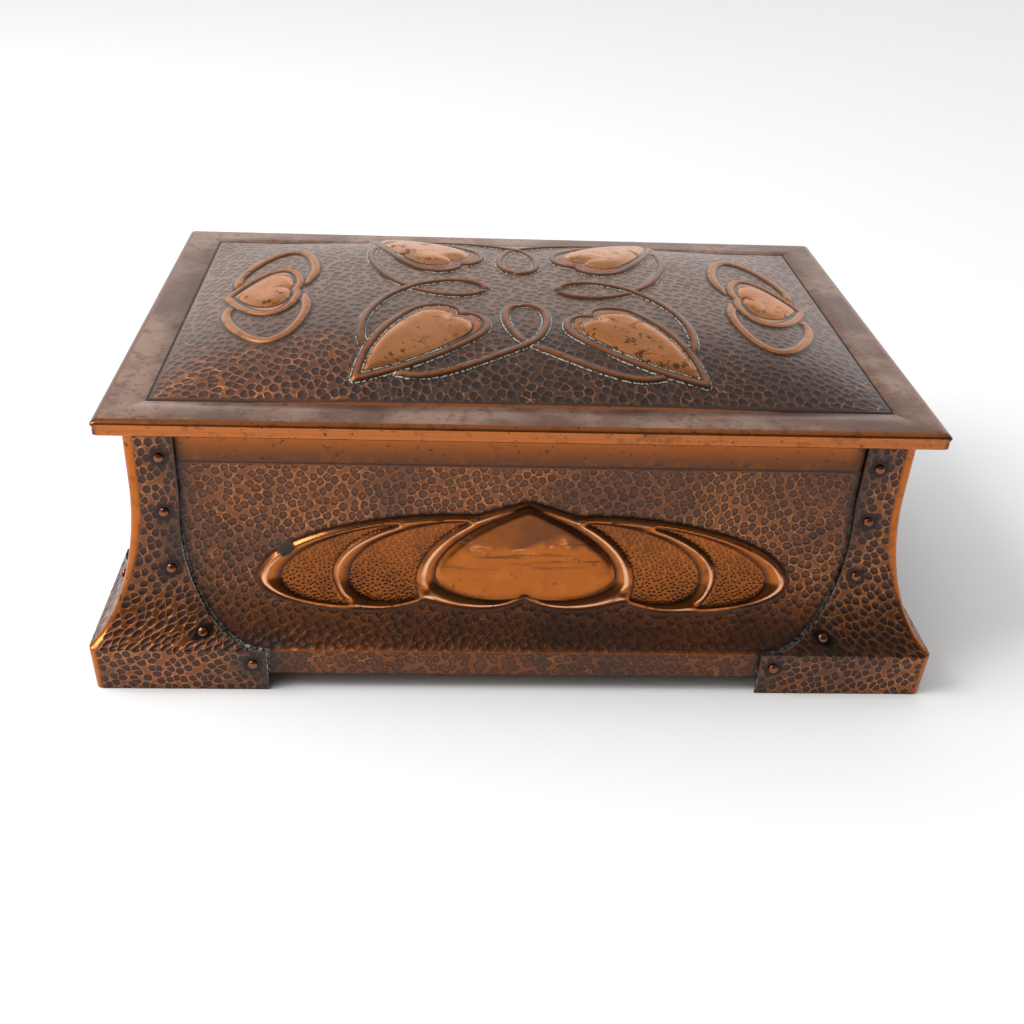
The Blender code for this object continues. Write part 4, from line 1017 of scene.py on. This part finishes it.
# Colours of the copper, from rubbed metal to the darkest patina; the crest, ridge and rubbed colours also
# serve as painted highlights, and the grime colour also as painted shade
CREST = (0.84, 0.46, 0.27, 1.0)
RUBBED_AND_GLINT = (0.72, 0.30, 0.125, 1.0)
RIDGE = (0.60, 0.235, 0.085, 1.0)
BRIGHT = (0.58, 0.185, 0.040, 1.0)
BLOOM = (0.50, 0.50, 0.41, 1.0)
ORANGE = (0.42, 0.118, 0.022, 1.0)
RIM_TAN = (0.36, 0.215, 0.15, 1.0)
RED_BROWN = (0.29, 0.0855, 0.0207, 1.0)
RUSSET = (0.22, 0.068, 0.020, 1.0)
BROWN = (0.115, 0.046, 0.024, 1.0)
PLUM = (0.050, 0.026, 0.024, 1.0)
GRIME_AND_SHADE = (0.040, 0.029, 0.024, 1.0)
SOOT = (0.020, 0.012, 0.011, 1.0)


def hammered_skin(ground, marks, spots, weight, bright):
    """The colour of hammered sheet: dark pits in a ground, with ridges between them painted bright, partly
    rubbed wear and partly painted highlight.
    """
    fill = marks.pit * (0.78 + marks.cell * 0.20) * weight
    ridges = marks.ridge * weight * (bright + spots.blotch * 0.3)
    return painted(ground, (fill, mix(marks.cell, SOOT, PLUM)), (ridges, RIDGE))


def heart_polish(place, height, spots):
    """The polished heart of the front: bright below, with painted shade over its upper part standing for a
    dark reflection, painted highlight glints along that shade's edge, and streaks, wear and specks.
    """
    # Painted shade over the heart's upper part, for the dark reflection its top would catch, and painted
    # highlight glints along the lower edge of that shade
    upper = step(height + (spots.wave - 0.5) * 26.0, 56.5, 61.5)
    painted_glint = step(noise(stretched(place, (240.0, 240.0, 420.0)), 1.0, 2.0), 0.50, 0.64)
    streak = step(noise(stretched(place, (40.0, 40.0, 560.0)), 1.0, 4.0), 0.52, 0.64)
    return painted(mix(spots.blotch * 0.4, ORANGE, BRIGHT),
                   (upper, mix(spots.cloud * 0.8, RED_BROWN, BROWN)),
                   (hump(upper, 0.1, 0.4, 0.5, 0.9) * step(height, 63.5, 60.5) * painted_glint * 0.6, RUBBED_AND_GLINT),
                   (hump(height, 46.0, 51.0, 58.0, 63.0) * streak * 0.75, BROWN),
                   (spots.mottle * 0.18 + 0.08, RUSSET), (spots.speck * 0.7, BROWN))


def casing_finish(shared):
    """Hammered walls with a smooth strip above, and the polished figure with its stippled fields, with
    painted highlights on the ridges, along the bend above the foot, on the strip's top and on the figure's
    crests, and painted shade over the heart's top and beside the straps.
    """
    material, place = blank("hammered_copper")
    sheet, weight, figure, hollow, cushion, strap, crest = marks_on(
        material, "sheet", "hammered", "figure", "hollow", "cushion", "strap", "crest")
    height = split("XYZ", sheet)[2]
    marks = use(shared.marks, Sheet=sheet, Spacing=WALL_MARKS, Centre=0.8)
    stipple = use(shared.marks, Sheet=sheet, Spacing=FIELD_MARKS, Centre=0.0)
    spots = use(shared.patina, Place=place)

    # How strongly the hammer ridges are painted bright, a painted highlight: none low on the flare, less
    # under the clouds
    bright = step(height, 24.0, 46.0) * (1.0 - spots.cloud * 0.75) * 0.75
    ground = mix(spots.blotch, mix(spots.cloud, RUSSET, BROWN), RUSSET)
    dim = step(height, 64.0, 82.0) * (0.15 + spots.blotch * 0.5)
    # An orange band painted along the bend above the foot: a painted highlight
    fold_highlight = hump(height, 17.6, 19.0, 19.4, 20.6) * (0.35 + spots.wave * 0.6)
    strip = step(height, 89.9, 90.3)
    # The smooth strip: darker low and orange toward the top, with a painted highlight along its top edge
    # under the lid
    strip_colour = painted(mix(step(height, 90.0, 106.0), BROWN, ORANGE),
                           (step(height, 101.6, 103.2), RIDGE),
                           (spots.mottle * 0.4, RUSSET), (spots.speck * 0.8, PLUM))
    chased_line = hump(height, 88.9, 89.5, 89.8, 90.3) * 0.8

    in_figure, in_field, in_heart = (step(value, 0.1, -0.15) for value in (figure, hollow, cushion))
    # A pink painted highlight along the crests of the figure's bands, broken by noise: painted highlight
    # over rubbed wear
    wear_and_sheen = step(crest, 0.88, 0.995) * step(spots.wave, 0.22, 0.62)
    stain = step(away_from(place, STAIN_PLACE) + spots.grain * 0.004, 0.0065, 0.0055)
    polished = painted(mix(step(crest, 0.15, 0.80), BROWN, mix(spots.blotch, ORANGE, RUSSET)),
                       (wear_and_sheen, CREST), (spots.speck * 0.6, BROWN), (stain, SOOT))
    # The stippled fields: darker pits, with their rims painted bright as a painted highlight
    field = painted(mix(0.3 + spots.cloud * 0.6, ORANGE, RUSSET), (spots.blotch * 0.4, BROWN),
                    (stipple.pit * 0.5, BROWN), (stipple.ridge * 0.5, BRIGHT))
    outline = either(step(figure, 2.4, 0.2) * (1.0 - in_figure) * 0.8,
                     either(hump(hollow, -0.7, -0.1, 0.1, 0.6) * 0.7,
                            hump(cushion, -0.5, -0.1, 0.1, 0.8) * 0.8))
    bloom = use(shared.verdigris, Place=place, Away=strap - 0.3, Width=0.5).bloom
    colour = painted(hammered_skin(ground, marks, spots, weight, bright), (dim, BROWN), (fold_highlight, ORANGE),
                     (strip, strip_colour), (chased_line, SOOT),
                     (in_figure, polished), (in_field, field),
                     (in_heart, heart_polish(place, height, spots)), (outline, SOOT),
                     # Painted shade on the wall beside the straps, and a dark band at their edges: painted
                     # shadow of the strap edges over a dark joint
                     (step(strap, 6.5, 1.0) * (0.25 + spots.cloud * 0.4), GRIME_AND_SHADE),
                     (step(strap, 2.2, 0.2) * 0.85, SOOT),
                     (bloom * step(height, 80.0, 50.0) * 0.35, BLOOM))

    smooth = either(strip, in_figure)
    rough = blend(smooth, blend(marks.pit * weight, 0.36, 0.48), 0.19 + spots.grain * 0.08)
    relief = (marks.height * weight + spots.grain * 0.02 + spots.wave * 0.3
              + stipple.height * in_field * (1.0 - in_heart) * 0.7)
    metallic = blend(either(smooth, marks.ridge), 0.75, 0.98) * (1.0 - stain)
    return shade(material, colour, blend(stain, rough, 0.7), (1.0 - smooth) * 0.16, relief, metallic)


def strap_finish(shared):
    """Hammered straps with a smooth rubbed corner, dark rings round the rivets, and a dark edge."""
    material, place = blank("strap_copper")
    sheet, weight, edge, rivet, corner = marks_on(material, "sheet", "hammered", "edge", "rivet", "corner")
    height = split("XYZ", sheet)[2]
    marks = use(shared.marks, Sheet=sheet, Spacing=WALL_MARKS, Centre=0.12)
    spots = use(shared.patina, Place=place)

    smooth = step(corner, 0.8, -0.8)
    # The smooth corner strip is bare rubbed copper, the metal's own wear
    wear_and_sheen = painted(ORANGE, (spots.mottle * 0.5, RUSSET), (spots.speck, PLUM))
    grimy = either(step(edge, 9.0, 3.0), step(rivet, 9.0, 4.0))
    bloom = use(shared.verdigris, Place=place, Away=edge - 0.15, Width=0.4).bloom
    ground = mix(spots.cloud, RUSSET, BROWN)
    colour = painted(hammered_skin(ground, marks, spots, weight, 0.30 + (1.0 - spots.cloud) * 0.4),
                     (smooth, wear_and_sheen), (hump(corner, -1.4, 0.2, 0.4, 1.8) * spots.blotch * 0.8, BROWN),
                     (grimy * (0.15 + spots.cloud * 0.5), GRIME_AND_SHADE),
                     (step(rivet, 4.6, 3.0) * 0.9, SOOT), (step(edge, 0.8, 0.1) * 0.7, SOOT),
                     (bloom * step(height, 70.0, 40.0) * 0.4, BLOOM))

    rough = blend(smooth, blend(marks.pit * weight, 0.32, 0.44), 0.24)
    relief = marks.height * weight * 1.2 + spots.grain * 0.02 + spots.wave * 0.3
    metallic = blend(either(smooth, marks.ridge), 0.78, 0.98)
    return shade(material, colour, rough, (1.0 - smooth) * 0.16, relief, metallic)


def lid_finish(shared):
    """The dark hammered dome with its cords and rubbed hearts, the brown rim and the bright edge, with
    painted highlights on the front of the dome, on its cords and on its back hearts, painted reflection on
    its back, and painted shade on its front middle.
    """
    material, place = blank("lid_copper")
    sheet, weight, cord, cushion, band, rim = marks_on(
        material, "sheet", "hammered", "cord", "cushion", "band", "rim")
    marks = use(shared.marks, Sheet=sheet, Spacing=LID_MARKS, Centre=0.3)
    spots = use(shared.patina, Place=place)
    along, back, _ = split("XYZ", place)

    # Toward the front of the dome the ground turns orange and the hammer ridges are painted bright: painted
    # highlight on the front slope; the front middle is painted darker as painted shade
    toward_front = (step(back, -0.025, -0.070) * step(rim, 0.4, 2.5) * (0.25 + spots.blotch * 0.6)
                    * (0.4 + step(along, -0.02, -0.07) * 0.6))
    shaded = step(back, -0.035, -0.068) * step(along, -0.075, -0.035) * 0.65
    ground = painted(mix(toward_front, BROWN, ORANGE), (spots.cloud * 0.75, PLUM), (shaded, GRIME_AND_SHADE))
    # The back of the dome painted pale tan, less in the pits: a painted reflection of the bright backdrop
    # at a grazing angle
    pale = step(back, -0.070, 0.020) * (1.0 - marks.pit * weight * 0.6) * (0.75 - spots.blotch * 0.35)

    on_cord, on_heart, on_band = (step(value, 0.1, -0.2) for value in (cord, cushion, band))
    # The cords' tops are painted lighter than their brown sides, and the end figures' cords and bands
    # lighter still: painted highlight along the cords, partly rubbed wear
    at_ends = step(abs(along), 0.070, 0.078)
    crest = mix(spots.mottle * 0.6, mix(at_ends, ORANGE, RIDGE), BROWN)
    wear_and_sheen = step(cord, -0.9, -1.4) * step(spots.wave, 0.30, 0.60) * 0.8
    high = step(cord, blend(at_ends, -0.4, -0.3), blend(at_ends, -1.2, -0.9))
    cord_colour = mix(high, BROWN, mix(wear_and_sheen, crest, mix(at_ends, RIM_TAN, RIDGE)))
    band_colour = mix(step(band, -0.3, -1.0), BROWN, crest)
    # The hearts are rubbed copper; the back hearts are painted paler still, a painted reflection
    rubbed = painted(mix(spots.cloud * 0.5, RUBBED_AND_GLINT, BRIGHT), (step(back, 0.010, 0.040) * 0.6, CREST),
                     (spots.blotch * 0.30, ORANGE),
                     (spots.mottle * step(spots.wave, 0.46, 0.58) * 0.85, BROWN), (spots.speck, BROWN))
    lines = either(hump(cord, -0.5, 0.0, 0.3, 1.0), hump(cushion, -0.5, -0.1, 0.2, 0.7))
    away = calc("MINIMUM", abs(cord - 0.15), abs(cushion - 0.25))
    bloom = use(shared.verdigris, Place=place, Away=away, Width=0.30).bloom

    on_rim, on_edge = step(rim, 0.3, -0.1), step(rim, -14.2, -15.2)
    chased_line = hump(rim, -1.5, -1.0, 0.0, 0.5)
    at_tips = step(abs(along), 0.1470, 0.1485) * 0.75
    rim_colour = painted(mix(spots.cloud * 0.85, RIM_TAN, BROWN), (spots.blotch * 0.5, RUSSET),
                         (spots.mottle * 0.55, BROWN), (spots.speck * 0.7, PLUM))
    edge_colour = painted(mix(at_tips, ORANGE, BROWN), (spots.mottle * 0.7, RUSSET), (spots.speck, PLUM))
    colour = painted(hammered_skin(ground, marks, spots, weight, 0.12 + toward_front * 0.8),
                     (pale, RIM_TAN), (on_cord, cord_colour), (on_band, band_colour), (on_heart, rubbed),
                     (lines * 0.85, SOOT), (bloom * (1.0 - at_ends * 0.85), BLOOM),
                     (on_rim, rim_colour), (chased_line * 0.85, SOOT), (on_edge, edge_colour))

    smooth = either(on_edge, on_heart)
    rough = blend(smooth, blend(on_rim, 0.42, 0.32), 0.26)
    coat = (1.0 - either(on_heart, chased_line)) * 0.4
    relief = marks.height * weight * 1.2 + spots.grain * 0.02 + spots.wave * 0.3
    return shade(material, colour, rough, coat, relief, blend(either(smooth, on_cord), 0.66, 0.97))


def rivet_finish(shared):
    """Rivet heads: russet brown with a few rubbed specks."""
    material, place = blank("rivet_copper")
    spots = use(shared.patina, Place=place)
    colour = painted(RUSSET, (spots.mottle, BROWN), (spots.speck * 0.7, ORANGE))
    return shade(material, colour, blend(spots.speck, 0.26, 0.40), 0.5, spots.grain * 0.05, 0.9)


def floor_finish():
    """Plain pale paper."""
    material, place = blank("pale_floor")
    colour = mix(noise(place, 4.0), (0.86, 0.86, 0.86, 1.0), (0.88, 0.88, 0.88, 1.0))
    return shade(material, colour, 0.9, 0.0, noise(place, 300.0) * 0.01, 0.0)


# Floor, light and camera
def add_floor():
    """A wide pale floor under the casket."""
    shape = bmesh.new()
    bmesh.ops.create_grid(shape, x_segments=1, y_segments=1, size=30.0)
    mesh = bpy.data.meshes.new("floor")
    shape.to_mesh(mesh)
    shape.free()
    mesh.materials.append(floor_finish())
    floor = add_object("floor", mesh)


def add_key_light():
    """A soft square light high on the left, aimed at the casket."""
    lamp = bpy.data.lights.new("key", "AREA")
    lamp.shape = "SQUARE"
    lamp.size = 0.7
    lamp.energy = 15.0
    light = add_object("key", lamp)
    light.location = (-1.0, -0.2, 1.05)
    toward = Vector((0.0, 0.0, 0.06)) - light.location
    light.rotation_euler = toward.to_track_quat("-Z", "Y").to_euler()


def add_daylight():
    """Even light from the upper left that whitens the floor and isn't mirrored in the copper."""
    lamp = bpy.data.lights.new("daylight", "SUN")
    lamp.energy = 2.0
    lamp.angle = math.radians(100.0)
    light = add_object("daylight", lamp)
    light.rotation_euler = (math.radians(-8.0), math.radians(-32.0), 0.0)
    light.visible_glossy = False


def add_surroundings():
    """A white backdrop low behind and beside the casket, darker overhead and behind the camera."""
    world = bpy.data.worlds.new("studio")
    bpy.context.scene.world = world
    world.use_nodes = True
    nodes = world.node_tree.nodes
    nodes.clear()
    x, y, z = split("XYZ", results(nodes.new("ShaderNodeTexCoord")).generated)
    backdrop = either(step(y, -0.3, 0.5), step(x, -0.2, -0.9) * 0.8)
    overhead = step(z, 0.45, 0.75) * step(y, -0.45, 0.0)
    glow = blend(overhead, 0.10, 0.38) + backdrop * blend(step(z, 0.25, 0.70), 0.85, 0.10)
    seen = results(nodes.new("ShaderNodeLightPath")).is_camera_ray
    light = node("ShaderNodeBackground", {"Color": (1.0, 1.0, 1.0, 1.0), "Strength": either(glow, seen)})
    feed(nodes.new("ShaderNodeOutputWorld"), {"Surface": results(light).background})


def add_camera():
    """The photograph's own view of the casket."""
    lens = bpy.data.cameras.new("camera")
    lens.sensor_width = 36.0
    lens.lens = 41.46
    lens.shift_x, lens.shift_y = 0.0289, -0.0178
    lens.clip_start = 0.01
    camera = add_object("camera", lens)
    camera.location = (-0.033501, -0.455558, 0.302756)
    camera.rotation_euler = (1.021, -0.036, -0.03)
    bpy.context.scene.camera = camera


def main():
    """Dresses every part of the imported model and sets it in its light."""
    shared = SimpleNamespace(marks=hammer_marks(), patina=patina(), verdigris=verdigris())
    blows = hammer_blows()
    walls, straps, heads = casing_finish(shared), strap_finish(shared), rivet_finish(shared)
    sheets = (("casing_front", plate(FRONT_COLUMNS, FRONT_ROWS, 12), bend_front),
              ("casing_sides_and_back", plate(2 * SIDE_COLUMNS + BACK_COLUMNS, SIDE_ROWS, 4), bend_sides),
              ("casing_floor", plate(40, 24, 4), bend_floor))
    for name, sheet, bend in sheets:
        piece = add_piece(name, sheet, bend, walls, ["casing"])
        hammer_in(piece, blows, WALL_MARKS)
    lid = add_piece("lid_panel_and_rim", plate(PANEL_COLUMNS, PANEL_ROWS, 12, len(LID_RINGS)), bend_lid,
                    lid_finish(shared), ["lid"])
    hammer_in(lid, blows, LID_MARKS)
    for number, (name, quarter, side_x, side_y) in enumerate(CORNERS):
        place = corner_place(quarter, side_x, side_y)
        sheet = plate(STRAP_COLUMNS, len(STRAP_HEIGHTS) - 1, 1, len(EDGE_DEPTHS))
        strap = add_piece("corner_strap_" + name, sheet, bend_strap(place, number), straps,
                          ["strap_" + name])
        hammer_in(strap, blows, WALL_MARKS)
        nodes = [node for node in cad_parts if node.startswith("rivet_" + name)]
        add_piece("rivet_heads_" + name, rivet_heads(place), stay, heads, nodes)
    add_floor()
    add_surroundings()
    add_key_light()
    add_daylight()
    add_camera()
    bpy.context.scene.view_settings.view_transform = "Standard"


main()
